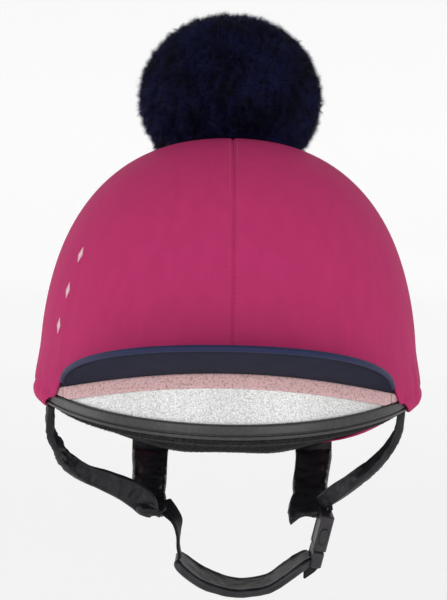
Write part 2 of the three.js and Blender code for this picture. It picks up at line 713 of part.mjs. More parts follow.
// Frame of the buckle: it runs from its top to its foot, its width lies front to back
function buckleMatrix() {
  const top = stationPoint(BUCKLE_TOP);
  const foot = stationPoint(BUCKLE_FOOT);
  const down = foot.clone().sub(top).normalize();
  const back = new THREE.Vector3(0, 1, 0).addScaledVector(down, -down.y).normalize();
  const side = back.clone().cross(down);
  return new THREE.Matrix4().makeBasis(side, back, down).setPosition(top);
}

// Block with chamfered long edges, from start to end along the buckle
function buckleBlock(start, end, width, thickness, grow = 0) {
  const halfThick = thickness / 2 + grow;
  const halfWidth = width / 2 + grow;
  const edge = BUCKLE_CHAMFER;
  const loops = [
    { at: start - grow, inset: edge / 2 },
    { at: start + edge / 2, inset: 0 },
    { at: end - edge / 2, inset: 0 },
    { at: end + grow, inset: edge / 2 },
  ].map(({ at, inset }) => {
    const x = halfThick - inset;
    const y = halfWidth - inset;
    const plan = [
      [-x, y - edge], [edge - x, y], [x - edge, y], [x, y - edge],
      [x, edge - y], [x - edge, -y], [edge - x, -y], [-x, edge - y],
    ];
    return plan.map(([px, py]) => new THREE.Vector3(px, py, at));
  });
  return loft(loops);
}

// Oval prism that runs front to back through the socket
function ovalPrism(near, far, grow) {
  const halfLength = TAB_LENGTH / 2 + grow;
  const halfWidth = TAB_WIDTH / 2 + grow;
  const middle = BUCKLE_LENGTH * TAB_PLACE;
  const loops = [near, far].map((y) => Array.from({ length: TAB_SIDES }, (_, step) => {
    const angle = (2 * Math.PI * (step + 0.5)) / TAB_SIDES;
    const rise = Math.sin(angle);
    const along = Math.sign(rise) * Math.abs(rise) ** TAB_ROUND;
    return new THREE.Vector3(halfWidth * Math.cos(angle), y, middle + halfLength * along);
  }));
  return loft(loops);
}

const pieces = [];

function addPiece(name, geometry, color, roughness, metalness = 0) {
  const material = new THREE.MeshStandardMaterial({ color, roughness, metalness });
  const mesh = new THREE.Mesh(geometry, material);
  mesh.name = name;
  pieces.push(mesh);
  return mesh;
}

const RASPBERRY = 0xac3364;
const NAVY = 0x343646;
const PIPING_NAVY = 0x3e4464;
const PALE_PINK = 0xd7aaac;
const SILVER = 0xe1e3e2;
const RUBBER_BLACK = 0x3c3c3c;
const LINING_BLACK = 0x1e1e1e;
const FUR_NAVY = 0x0a0c23;
const LEATHER_BLACK = 0x1e1c20;
const WEBBING_GREY = 0x2d2d32;
const BUCKLE_GREY = 0x3c383c;

addPiece('shell', shellGeometry(), SILVER, 0.35, 0.3);
addPiece('rim_trim', trimGeometry(), RUBBER_BLACK, 0.5);
addPiece('lining', liningGeometry(), LINING_BLACK, 0.95);

const quarter = Math.PI / 2;
for (const [side, mirrored] of [['left', false], ['right', true]]) {
  const front = silkPanelGeometry(-quarter, 0, mirrored);
  const back = silkPanelGeometry(-2 * quarter, -quarter, mirrored);
  addPiece(`crown_front_${side}`, front, RASPBERRY, 0.6);
  addPiece(`crown_back_${side}`, back, RASPBERRY, 0.6);
}

addPiece('hem_band', hemBandGeometry(), PALE_PINK, 0.9);
addPiece('peak', peakGeometry(), NAVY, 0.7);
addPiece('peak_piping', pipingGeometry(), PIPING_NAVY, 0.6);
addPiece('pompom', pompomGeometry(), FUR_NAVY, 1);

const inBuckle = (geometry) => geometry.applyMatrix4(buckleMatrix());
const socketBlock = (grow) => inBuckle(
  buckleBlock(0, BUCKLE_LENGTH, BUCKLE_WIDTH, BUCKLE_THICKNESS, grow),
);
const plugStart = BUCKLE_LENGTH + PIECE_GAP;
const plugBlock = (grow) => inBuckle(
  buckleBlock(plugStart, plugStart + PLUG_LENGTH, BUCKLE_WIDTH, PLUG_THICKNESS, grow),
);
const buckleFace = BUCKLE_WIDTH / 2;
const tabFloor = buckleFace - TAB_POCKET_DEPTH;
const pockets = [-1, 1].map((end) => inBuckle(
  ovalPrism(end * tabFloor, end * (buckleFace + TAB_PROUD), PIECE_GAP),
));
const tabs = [-1, 1].map((end) => inBuckle(
  ovalPrism(end * (tabFloor + PIECE_GAP), end * (buckleFace + TAB_PROUD), 0),
));

const frontStraps = { left: FRONT_STRAP_LEFT, right: FRONT_STRAP_RIGHT };
const rearStraps = { left: REAR_STRAP_LEFT, right: REAR_STRAP_RIGHT };
const gussetRows = { left: GUSSET_LEFT, right: GUSSET_RIGHT };
const gusset = (side, grow) => (
  strapGeometry(gussetRows[side], GUSSET_WIDTH, GUSSET_THICKNESS, grow)
);
const webGeometry = (rows, grow = 0) => (
  strapGeometry(rows, CHIN_WEB_WIDTH, CHIN_WEB_THICKNESS, grow)
);
for (const side of ['left', 'right']) {
  const cutters = [gusset(side, PIECE_GAP), socketBlock(PIECE_GAP)];
  const front = cutBy(hungStrap(frontStraps[side], FRONT_STRAP_WIDTH, 0), cutters);
  const rear = cutBy(hungStrap(rearStraps[side], REAR_STRAP_WIDTH, 0), cutters);
  addPiece(`front_strap_${side}`, front, LEATHER_BLACK, 0.5);
  addPiece(`rear_strap_${side}`, rear, LEATHER_BLACK, 0.5);
  const patch = cutBy(gusset(side, 0), [socketBlock(PIECE_GAP)]);
  addPiece(`junction_${side}`, patch, LEATHER_BLACK, 0.5);
}

const padGeometry = (grow) => strapGeometry(CHIN_PAD, CHIN_PAD_WIDTH, CHIN_PAD_THICKNESS, grow);
const leftWebCutters = [gusset('left', PIECE_GAP), padGeometry(PIECE_GAP)];
const leftWeb = cutBy(webGeometry(CHIN_WEB_LEFT), leftWebCutters);
addPiece('chin_web_left', leftWeb, WEBBING_GREY, 0.8);
addPiece('chin_pad', cutBy(padGeometry(0), [plugBlock(PIECE_GAP)]), WEBBING_GREY, 0.6);
const rightWebCutters = [
  gusset('right', PIECE_GAP),
  socketBlock(PIECE_GAP),
  hungStrap(FRONT_STRAP_RIGHT, FRONT_STRAP_WIDTH, PIECE_GAP),
];
const rightWeb = cutBy(webGeometry(CHIN_WEB_RIGHT), rightWebCutters);
addPiece('chin_web_right', rightWeb, WEBBING_GREY, 0.8);
const tailCutters = [socketBlock(PIECE_GAP), plugBlock(PIECE_GAP), padGeometry(PIECE_GAP)];
const tail = cutBy(webGeometry(STRAP_TAIL), tailCutters);
addPiece('strap_tail', tail, WEBBING_GREY, 0.8);

addPiece('buckle_socket', cutBy(socketBlock(0), pockets), BUCKLE_GREY, 0.5);
addPiece('buckle_plug', plugBlock(0), BUCKLE_GREY, 0.5);
addPiece('buckle_tab_front', tabs[0], BUCKLE_GREY, 0.5);
addPiece('buckle_tab_back', tabs[1], BUCKLE_GREY, 0.5);

const group = new THREE.Group();
group.add(...pieces);

export default group;
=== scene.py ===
"""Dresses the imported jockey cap: silk cover, fur pompom, peak, silver shell, rubber rim, padded
lining and leather chin harness. Lengths are in metres, angles in radians."""

import math
from collections import namedtuple
from functools import lru_cache

import bmesh
import bpy
from bpy.props import FloatProperty, FloatVectorProperty, IntProperty, PointerProperty
from mathutils import Matrix, Vector, noise


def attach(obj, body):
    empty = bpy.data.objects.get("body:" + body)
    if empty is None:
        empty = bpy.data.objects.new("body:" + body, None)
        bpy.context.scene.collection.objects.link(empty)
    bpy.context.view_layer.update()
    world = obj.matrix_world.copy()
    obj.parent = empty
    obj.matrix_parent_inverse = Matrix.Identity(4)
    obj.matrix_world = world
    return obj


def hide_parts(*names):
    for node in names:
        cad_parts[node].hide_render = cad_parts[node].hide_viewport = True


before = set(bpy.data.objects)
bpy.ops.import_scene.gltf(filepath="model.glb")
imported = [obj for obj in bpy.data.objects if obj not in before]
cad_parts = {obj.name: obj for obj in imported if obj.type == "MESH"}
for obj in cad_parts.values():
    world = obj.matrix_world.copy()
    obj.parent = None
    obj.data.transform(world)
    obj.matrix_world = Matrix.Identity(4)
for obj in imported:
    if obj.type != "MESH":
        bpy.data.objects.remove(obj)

bl_info = {
    "name": "Jockey Cap",
    "version": (1, 0, 0),
    "blender": (4, 5, 0),
    "location": "3D View > Sidebar > Jockey Cap",
    "description": "Dresses the packed jockey cap in silk, fur, leather and rubber",
    "category": "Add Mesh",
}

MM = 0.001
DEGREE = math.pi / 180
QUARTER = math.pi / 2
UP = Vector((0, 0, 1))
NOISE_SEED = 7

# Crown, on the outside of the silk, and the layers under it
CROWN_HALF_WIDTH = 107.6 * MM
CROWN_HALF_LENGTH = 130 * MM
CROWN_HEIGHT = 151 * MM
PROFILE_POWER = 2.62
SPREAD_POWER = 2.38
SILK_THICKNESS = 1.2 * MM
SHELL_THICKNESS = 3 * MM
LINING_THICKNESS = 21 * MM
PIECE_GAP = 0.3 * MM
SHELL_OUT = -1.7 * MM
LINING_OUT = -5.25 * MM

# Lower edge, and the rubber trim on it
RIM_FRONT_HEIGHT = 2 * MM
TEMPLE_RISE = 6.8 * MM
NAPE_DROP = 50 * MM
NAPE_START = 64 * DEGREE
NAPE_END = 165 * DEGREE
NAPE_TUCK = 0.06
TRIM_HEIGHT = 6.9 * MM
TRIM_WALL = 1.9 * MM
TRIM_FLOOR = 1.8 * MM
LIP_DROP = 4.4 * MM

# Hem of the silk
SILK_RIM_GAP = 0.6 * MM
SILK_FLARE = 2.3 * MM
SILK_FLARE_REACH = 24 * MM
SILK_FLARE_START = 36 * DEGREE
SILK_GAP = 0.5 * MM
HEM_UNDERSIDE = 2 * MM
CORNER_START = 48.5 * DEGREE
CORNER_TURN = 53 * DEGREE
FOLD_TURNS = (55 * DEGREE, 64 * DEGREE)
SLACK_TURN = 124 * DEGREE
SLACK_WIDTH = 20 * DEGREE
SLACK_DROP = 5 * MM
HEM_FOLD = [(2, 0), (0.8, 0.3), (0.15, 1)]
HEM_CORNER_START = 0.75
CROWN_EYELET_RADIUS = 3 * MM
SILK_LINE_STEPS = 90
ROW_CROWDING = 1.35

# Silk's pattern, and the coordinates of its threads: metres of cloth a radian and from the hem up
CLOTH_RADIUS = 0.115
CLOTH_RISE = 0.19

# Relief of the silk: seams, the casing with its stitching, gathers beside the peak, and slack
SEAM_TWIST = 1 * DEGREE
SEAM_WIDTH = 1.2 * MM
HEM_EASE = 3 * MM
CASING_MIDDLE = 0.55
CASING_WIDTH = 3.2 * MM
CASING_SWELL = 0.55 * MM
STITCH_WIDTH = 0.8 * MM
STITCH_DEPTH = 0.5 * MM
GATHER_TURN = 61 * DEGREE
GATHER_SPREAD = 10 * DEGREE
GATHER_HEIGHT = 15 * MM
GATHER_PITCH = 1.15 * DEGREE
GATHER_WANDER = 1.5
GATHER_GRAIN = 9 * MM
SLACK_GRAIN = 38 * MM
SLACK_TOP = 150 * MM
SLACK_FADE = 40 * MM
SLACK_RELIEF = 0.25 * MM

# Stitched diamonds as (turn in degrees, height), and the topstitching beside the front seam
DIAMONDS = [(-50.5, 84 * MM), (-52.5, 66 * MM), (-54.5, 48 * MM)]
DIAMOND_HALF_HEIGHT = 4 * MM
DIAMOND_HALF_WIDTH = 2.9 * MM
DIAMOND_THREADS = 17
DIAMOND_THREAD = (0.7 * MM, 0.55 * MM, 0.6 * MM)
TOPSTITCH_HEIGHTS = (40 * MM, 148 * MM)
TOPSTITCH_OFFSET = 1.9 * MM
TOPSTITCH_COUNT = 62
TOPSTITCH_LEFT_OUT = 6
TOPSTITCH_THREAD = (1.3 * MM, 0.25 * MM, 0.25 * MM)

# Lining: its sewn channels, the section of its lip as (out, share of the lip's drop) from the
# inside and from the outside, and the pile on it, whose steps spread the hairs evenly
QUILT_STEP = 45 * DEGREE
QUILT_RADIUS = 85 * MM
QUILT_WALL = 190 * MM
QUILT_WIDTH = 2.2 * MM
QUILT_DEPTH = 1.6 * MM
QUILT_RING = 0.2
QUILT_START = 0.16
QUILT_EASE = 0.04
LIP_INSIDE = [(3 * MM, 0.6), (10 * MM, 1)]
LIP_OUTSIDE = [(-2.5 * MM, 1), (0, 0.7)]
PILE_COUNT = 26000
PILE_WIDTH = 0.36 * MM
PILE_SUNK = 0.4 * MM
PILE_GRAIN = 900
PILE_STEPS = (0.6180339887, 0.7548776662)

# Peak, hem band and piping
PEAK_END = 50 * DEGREE
PEAK_ROOT_HEIGHT = 32 * MM
PEAK_ROOT_DROP = 14 * MM
PEAK_DEPTH = 44 * MM
PEAK_THICKNESS = 3 * MM
PEAK_EDGE_THICKNESS = 2.2 * MM
PEAK_TILT = 18.5 * DEGREE
PEAK_CORNER_TILT = 25 * DEGREE
PEAK_PLAN_POWER = 3.5
PEAK_PLAN_ROUND = 0.6
PEAK_BOW = 1.2 * MM
PEAK_WALL = 2.3 * MM
PEAK_SUNK = 0.5 * MM
PEAK_EDGE_GAP = 0.1 * MM
PEAK_GROOVE_INSET = 2.2 * MM
PEAK_GROOVE_WIDTH = 0.7 * MM
PEAK_GROOVE_DEPTH = 0.35 * MM
PEAK_GROOVE_EASE = 20 * MM
PEAK_COLUMNS = 160
PIPING_RADIUS = 1.35 * MM
HEM_BAND_HEIGHT = 6.6 * MM
HEM_BAND_THICKNESS = 1.8 * MM
HEM_BAND_END = 52.5 * DEGREE
HEM_BAND_GAP = 0.2 * MM
HEM_BAND_RISE = 0.5 * MM
HEM_BAND_FUZZ = 0.12 * MM
TACK_TURN = 49.3 * DEGREE
TACK_WIDTH = 0.5 * DEGREE
TACK_SQUEEZE = 0.35
TACK_COUNT = 4
TACK_LENGTH = 1.1 * MM
TACK_OUT = 1.75 * MM
TACK_COLOUR = (0.3, 0.13, 0.17)

# Pompom
POMPOM_CENTRE = Vector((-1.6 * MM, 13 * MM, CROWN_HEIGHT + 25.5 * MM))
POMPOM_RADIUS = 55 * MM
POMPOM_FLATTEN = 0.91
LEAN_GRAIN, LOCK_GRAIN, WISP_GRAIN, TUFT_GRAIN = 5.5, 17, 60, 16
LEAN_SHARE, LOCK_SHARE, WISP_SHARE, DROOP = 0.6, 1.3, 0.25, 0.25
LEAN_LIMIT = 0.95
ROOT_CLEAR = 0.4 * MM
TIP_CLEAR = 0.8 * MM

# Chin harness
CHIN_DROP = 115 * MM
FRONT_STRAP_WIDTH = 14 * MM
REAR_STRAP_WIDTH = 25 * MM
STRAP_THICKNESS = 4.4 * MM
CHIN_WEB_WIDTH = 15 * MM
CHIN_WEB_THICKNESS = 2.6 * MM
CHIN_PAD_WIDTH = 23 * MM
CHIN_PAD_THICKNESS = 5 * MM
GUSSET_WIDTH = 25 * MM
GUSSET_THICKNESS = 6 * MM
EDGE_ROLL_PLACE = 0.86
EDGE_ROLL_WIDTH = 0.13
STRAP_SIDES = 48

# Stations of the straps. across is a share of the crown's half width, along of its half length
# and down of the chin drop; wide and thick are shares of the strap's own size, and turn and lean
# are the angles, in degrees, that its width runs at.
Station = namedtuple("Station", "across along down wide thick turn lean")


def hanging(*rows):
    """Stations of one strap, from its top to its end"""
    return [Station(*row) for row in rows]


FRONT_STRAP_LEFT = hanging(
    (-0.868, -0.415, 0.0, 1.0, 1.0, 100, 0),
    (-0.872, -0.385, 0.09, 1.0, 1.0, 98, 0),
    (-0.85, -0.338, 0.165, 1.0, 1.0, 95, 5),
    (-0.818, -0.277, 0.25, 0.8, 1.05, 80, 18),
    (-0.74, -0.192, 0.332, 0.72, 1.1, 50, 34),
    (-0.647, -0.108, 0.39, 0.85, 1.15, 25, 46),
    (-0.545, -0.031, 0.455, 1.0, 1.15, 8, 52),
    (-0.475, 0.01, 0.51, 1.05, 1.0, 5, 52),
    (-0.425, 0.02, 0.56, 0.95, 0.8, 5, 50),
    (-0.39, 0.02, 0.598, 0.5, 0.6, 5, 48),
)
FRONT_STRAP_RIGHT = hanging(
    (0.858, -0.415, 0.0, 0.95, 1.0, 80, 0),
    (0.838, -0.385, 0.09, 0.95, 1.0, 82, 0),
    (0.776, -0.292, 0.22, 0.85, 1.0, 88, 8),
    (0.669, -0.154, 0.36, 0.7, 1.05, 110, 20),
    (0.598, -0.046, 0.448, 0.72, 1.1, 130, 28),
    (0.53, 0.085, 0.545, 0.62, 1.0, 140, 34),
)
REAR_STRAP_LEFT = hanging(
    (-0.49, 0.775, 0.0, 1.0, 1.0, -14, 0),
    (-0.485, 0.7, 0.455, 0.98, 1.0, -10, 0),
    (-0.47, 0.56, 0.505, 0.92, 1.05, -6, 0),
    (-0.458, 0.4, 0.536, 0.9, 1.1, -3, 0),
    (-0.453, 0.2622, 0.553, 0.88, 1.05, -2, 0),
)
REAR_STRAP_RIGHT = hanging(
    (0.56, 0.745, 0.0, 1.0, 1.0, 18, 0),
    (0.555, 0.68, 0.435, 0.98, 1.0, 14, 0),
    (0.53, 0.54, 0.49, 0.92, 1.05, 8, 0),
    (0.505, 0.4, 0.53, 0.9, 1.1, 2, 0),
    (0.496, 0.2622, 0.546, 0.88, 1.05, -3, 0),
)
GUSSET_LEFT = hanging(
    (-0.452, 0.26, 0.553, 0.88, 0.9, -2, 0),
    (-0.445, 0.17, 0.56, 0.95, 1.0, -4, -6),
    (-0.43, 0.09, 0.566, 0.95, 1.05, -6, -14),
    (-0.41, 0.03, 0.576, 0.8, 1.0, -8, -22),
    (-0.39, 0.0, 0.587, 0.5, 0.8, -10, -26),
)
GUSSET_RIGHT = hanging(
    (0.495, 0.26, 0.545, 0.88, 0.9, -4, 0),
    (0.487, 0.185, 0.558, 0.98, 1.0, -1, 0),
    (0.465, 0.12, 0.578, 0.98, 1.0, 3, 2),
    (0.437, 0.085, 0.6, 0.9, 1.0, 6, 4),
    (0.417, 0.075, 0.62, 0.68, 0.85, 8, 5),
)
CHIN_WEB_LEFT = hanging(
    (-0.36, 0.12, 0.56, 0.95, 1.0, 35, 0),
    (-0.315, 0.085, 0.595, 1.0, 1.0, 55, 0),
    (-0.27, 0.05, 0.64, 1.0, 1.0, 75, 0),
    (-0.256, 0.03, 0.7, 1.0, 1.0, 88, 0),
    (-0.254, 0.02, 0.76, 1.0, 1.0, 92, 0),
    (-0.24, 0.01, 0.815, 1.0, 1.0, 95, 0),
)
CHIN_PAD = hanging(
    (-0.262, 0.008, 0.81, 0.8, 0.8, 92, 4),
    (-0.225, 0.008, 0.848, 0.97, 1.0, 92, 5),
    (-0.12, 0.008, 0.916, 1.0, 1.0, 92, 6),
    (0.0, 0.008, 0.956, 0.96, 0.95, 91, 4),
    (0.105, 0.008, 0.967, 0.94, 0.92, 90, 2),
    (0.245, 0.008, 0.942, 0.94, 0.92, 89, 3),
    (0.33, 0.008, 0.89, 0.97, 0.95, 88, 5),
    (0.405, 0.008, 0.836, 0.97, 0.95, 88, 5),
    (0.475, 0.012, 0.79, 0.8, 0.75, 88, 4),
)
CHIN_WEB_RIGHT = hanging(
    (0.573, 0.012, 0.515, 0.55, 1.0, 95, 0),
    (0.577, 0.005, 0.54, 0.62, 1.0, 92, 0),
    (0.577, 0.0, 0.556, 0.7, 1.0, 90, 0),
)
STRAP_TAIL = hanging(
    (0.482, -0.02, 0.822, 0.66, 0.8, 16, 0),
    (0.47, -0.02, 0.846, 0.55, 1.0, 14, 0),
    (0.455, -0.02, 0.872, 0.33, 0.9, 12, 0),
    (0.438, -0.02, 0.902, 0.05, 0.6, 10, 0),
)

# Axis of the buckle as (x, z) at its top and foot, and how much slimmer its moulding looks
BUCKLE_TOP = (0.577 * CROWN_HALF_WIDTH, -0.56 * CHIN_DROP)
BUCKLE_FOOT = (0.533 * CROWN_HALF_WIDTH, -0.8 * CHIN_DROP)
BUCKLE_SLIMMING = 0.88
BUCKLE_SHIFTS = (2.0 * MM, 3.6 * MM)
PANEL_AREA = 60 * MM * MM
PANEL_MARGIN = 1.6 * MM
PANEL_DEPTH = 0.5 * MM
MOULDED_EDGE = 0.35 * MM

# Stage: the floor's outline as (share, reach, height), its depth below the cap, its glow, and
# the lamps as (name, place, target, size, power)
FLOOR_OUTLINE = [(0, 0, 0), (0.5, 2.8, 0), (0.6, 3.2, 0.1), (0.7, 3.5, 0.4), (0.8, 3.6, 0.8),
                 (1, 3.6, 3)]
FLOOR_DEPTH = 0.5
FLOOR_GLOW = 0.54
WORLD_STRENGTH = 0.36
CAMERA_PLACE = (0.0, -0.55, 0.084)
CAMERA_PITCH = -2.58 * DEGREE
CAMERA_ROLL = 1.1 * DEGREE
CAMERA_LENS = 56.64
CAMERA_SHIFT = -0.0093
LAMPS = [
    ("key", (-1.2, -2.1, 0.35), (0, 0, 0.04), 1.0, 16),
    ("fill", (1.4, -1.9, 0.0), (0, 0, 0.03), 1.2, 15),
    ("edge", (-1.7, 0.15, -0.1), (0, 0, 0.12), 0.8, 4),
    ("top", (0, 0.3, 2.2), (0, 0, 0.1), 1.5, 2),
]


def length_property(name, description, default):
    """Length of one detail, as a property"""
    return FloatProperty(
        name=name, description=description, default=default, min=0, unit="LENGTH")


class CapSizes(bpy.types.PropertyGroup):
    """Sizes of the cap's finish that may be changed"""

    seam_depth: length_property("Seam depth", "How far the silk dips at its seams", 0.9 * MM)
    casing_height: length_property(
        "Hem casing", "Height of the stitched casing along the silk's hem", 8 * MM)
    pucker_depth: length_property("Puckers", "Depth of the gathers beside the peak", 1 * MM)
    hair_length: length_property(
        "Hair length", "Usual length of a hair in the pompom's top coat", 12 * MM)
    hair_width: length_property("Hair width", "Width of a hair's root", 0.55 * MM)
    hair_count: IntProperty(
        name="Hairs", description="Number of hairs in each coat of the pompom",
        default=44000, min=100, max=49000)
    pile_length: length_property(
        "Pile length", "Length of the brushed pile on the lining's lip", 1.3 * MM)
    crease_depth: length_property(
        "Leather creases", "Depth of the creases in the leather straps", 0.9 * MM)
    thread_width: length_property("Thread width", "Width of a sewing thread", 0.4 * MM)


def colour_property(name, default):
    """Colour of one finish, as a property"""
    return FloatVectorProperty(
        name=name, description=f"Base colour of the {name.lower()}",
        subtype="COLOR", size=3, min=0, max=1, default=default)


class CapColours(bpy.types.PropertyGroup):
    """Colours of the cap's finishes"""

    silk: colour_property("Silk", (0.41, 0.031, 0.122))
    band: colour_property("Hem band", (0.5, 0.32, 0.325))
    fur: colour_property("Fur", (0.0028, 0.0032, 0.017))
    navy: colour_property("Peak cloth", (0.0155, 0.0165, 0.032))
    piping: colour_property("Piping", (0.017, 0.02, 0.062))
    silver: colour_property("Shell", (0.58, 0.585, 0.58))
    rubber: colour_property("Rubber", (0.032, 0.032, 0.033))
    lining: colour_property("Lining", (0.017, 0.017, 0.018))
    leather: colour_property("Strap leather", (0.015, 0.0138, 0.0165))
    chin: colour_property("Chin leather", (0.011, 0.011, 0.0145))
    webbing: colour_property("Webbing", (0.011, 0.011, 0.014))
    plastic: colour_property("Buckle plastic", (0.022, 0.019, 0.023))
    thread: colour_property("Motif thread", (0.75, 0.47, 0.52))


def lerp(low, high, share):
    return low + (high - low) * share


def clamp(value, low=0.0, high=1.0):
    return max(low, min(high, value))


def smooth(value):
    share = clamp(value)
    return share * share * (3 - 2 * share)


def bump(distance, width):
    """1 at no distance, falling smoothly to nothing some widths away"""
    return math.exp(-((distance / width) ** 2))


def between(knots, share):
    """Value at a share, on straight lines between (share, value) knots"""
    for (low, first), (high, last) in zip(knots, knots[1:]):
        if share <= high:
            return lerp(first, last, (share - low) / (high - low))
    return knots[-1][1]


def distances(points):
    """How far along their line each of the points lies"""
    lengths = [0.0]
    for before, after in zip(points, points[1:]):
        lengths.append(lengths[-1] + (after - before).length)
    return lengths


def evenly(points, count):
    """count + 1 points at even distances along a line of points"""
    lengths = distances(points)
    return [at_distance(points, lengths, lengths[-1] * step / count)
            for step in range(count + 1)]


def at_distance(points, lengths, distance):
    """Point at a distance along a line of points with known lengths"""
    index = 1
    while index < len(points) - 1 and lengths[index] < distance:
        index += 1
    gap = lengths[index] - lengths[index - 1]
    share = clamp((distance - lengths[index - 1]) / gap) if gap else 0
    return points[index - 1].lerp(points[index], share)


def dome_point(turn, height, out):
    """Point of the dome at a turn from the front and a height, moved outwards by out"""
    share = height / (CROWN_HEIGHT + out)
    if share > 0:
        spread = max(0.0, 1 - share ** PROFILE_POWER) ** (1 / SPREAD_POWER)
    else:
        spread = 1 - NAPE_TUCK * (height / NAPE_DROP) ** 2
    return Vector((
        (CROWN_HALF_WIDTH + out) * spread * math.sin(turn),
        -(CROWN_HALF_LENGTH + out) * spread * math.cos(turn),
        height,
    ))


def dome_height(x, y, out):
    """Height of the dome's surface over a point of the plan"""
    spread = math.hypot(x / (CROWN_HALF_WIDTH + out), y / (CROWN_HALF_LENGTH + out))
    share = max(0.0, 1 - spread ** SPREAD_POWER) ** (1 / PROFILE_POWER)
    return (CROWN_HEIGHT + out) * share


def dome_normal(point):
    """Way out of the dome at one of its points"""
    reach = math.hypot(point.x / CROWN_HALF_WIDTH, point.y / CROWN_HALF_LENGTH)
    grade = SPREAD_POWER * max(reach, 0.001) ** (SPREAD_POWER - 2)
    rise = PROFILE_POWER * max(0.0, point.z / CROWN_HEIGHT) ** (PROFILE_POWER - 1)
    return Vector((
        grade * point.x / CROWN_HALF_WIDTH ** 2,
        grade * point.y / CROWN_HALF_LENGTH ** 2,
        rise / CROWN_HEIGHT,
    )).normalized()


def rim_height(turn):
    """Underside of the rim trim"""
    side = abs(turn)
    drop = NAPE_DROP * smooth((side - NAPE_START) / (NAPE_END - NAPE_START))
    return RIM_FRONT_HEIGHT + TEMPLE_RISE * math.sin(side) ** 2 - drop


def root_height(turn):
    """Underside of the peak where it meets the shell"""
    share = math.sin(turn) / math.sin(PEAK_END)
    return PEAK_ROOT_HEIGHT - PEAK_ROOT_DROP * share * share


def all_round(across):
    """Turn at a share of the way round, from behind over the left, the front and the right"""
    return math.pi * (2 * across - 1)


def rim_point(turn, out, rise):
    """Point at a height above the rim trim's underside"""
    return dome_point(turn, rim_height(turn) + rise, out)


def wall_point(turn, share, out):
    """Point of a bowl's wall, from just above the rim at share 0 to its top at share 1"""
    edge = rim_height(turn) + TRIM_FLOOR + PIECE_GAP
    lift = math.sin(QUARTER * clamp(share)) ** (2 / PROFILE_POWER)
    return dome_point(turn, lerp(edge, CROWN_HEIGHT + out, lift), out)


def bent_grid(columns, rows, place, lay=None):
    """bmesh of a grid bent through place(across, up), with across and up from 0 to 1;
    lay(across, up) gives the cloth's own coordinates"""
    bm = bmesh.new()
    cloth = bm.loops.layers.uv.new("Cloth")
    bmesh.ops.create_grid(bm, x_segments=columns, y_segments=rows, size=0.5)
    for face in bm.faces:
        for loop in face.loops:
            across, up = loop.vert.co.x + 0.5, loop.vert.co.y + 0.5
            loop[cloth].uv = lay(across, up) if lay else (across, up)
    for vert in bm.verts:
        vert.co = place(vert.co.x + 0.5, vert.co.y + 0.5)
    return bm


def close_up(bm, reach=0.02 * MM):
    """Joins a bent grid's meeting edges, fills its open ends and turns its faces out"""
    bmesh.ops.remove_doubles(bm, verts=bm.verts, dist=reach)
    bmesh.ops.dissolve_degenerate(bm, dist=reach / 2, edges=bm.edges)
    open_edges = [edge for edge in bm.edges if edge.is_boundary]
    if open_edges:
        bmesh.ops.holes_fill(bm, edges=open_edges, sides=0)
    bmesh.ops.recalc_face_normals(bm, faces=bm.faces)
    return bm


def settle(name, bm, finish, slot, *nodes):
    """Makes a bmesh a piece of the cap, which stands for its nodes of the frame"""
    mesh = bpy.data.meshes.new(name)
    bm.to_mesh(mesh)
    bm.free()
    mesh.shade_smooth()
    mesh.materials.append(finish)
    piece = bpy.data.objects.new(name, mesh)
    bpy.context.scene.collection.objects.link(piece)
    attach(piece, "root")
    if nodes:
        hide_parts(*nodes)
    return piece


def thicken(piece, thickness):
    """Gives a sheet its thickness, half to each side"""
    wall = piece.modifiers.new("Thickness", "SOLIDIFY")
    wall.thickness = thickness
    wall.offset = 0


def flat_area(piece):
    """Area of a sheet's middle, in square metres"""
    return sum(face.area for face in piece.data.polygons)


def copies(template, places):
    """Mesh of one small closed shape laid at each of many places"""
    corners = [vert.co.copy() for vert in template.verts]
    sides = [[vert.index for vert in face.verts] for face in template.faces]
    points, faces = [], []
    for place in places:
        start = len(points)
        points.extend(place @ corner for corner in corners)
        faces.extend([start + index for index in side] for side in sides)
    mesh = bpy.data.meshes.new("copies")
    mesh.from_pydata(points, [], faces)
    bm = bmesh.new()
    bm.from_mesh(mesh)
    bpy.data.meshes.remove(mesh)
    template.free()
    return bm


def hair_shape():
    """One hair, a closed spike of one unit with three sides"""
    bm = bmesh.new()
    bmesh.ops.create_cone(bm, cap_ends=True, segments=3, radius1=0.5, radius2=0, depth=1,
                          matrix=Matrix.Translation((0, 0, 0.5)))
    bmesh.ops.remove_doubles(bm, verts=bm.verts, dist=0.001)
    bm.verts.index_update()
    return bm


def thread_shape():
    """One stitch, a closed rod of one unit along X with rounded ends"""
    bm = bmesh.new()
    bmesh.ops.create_icosphere(bm, subdivisions=1, radius=0.5)
    for vert in bm.verts:
        vert.co.x = math.copysign(abs(2 * vert.co.x) ** 0.5 / 2, vert.co.x)
    bm.verts.index_update()
    return bm


def aimed(origin, ahead, up, scale):
    """Place at origin with X ahead and Z close to up, stretched by scale"""
    ahead = ahead.normalized()
    side = up.cross(ahead).normalized()
    above = ahead.cross(side)
    turn = Matrix((ahead, side, above)).transposed().to_4x4()
    return Matrix.Translation(origin) @ turn @ Matrix.Diagonal((*scale, 1))


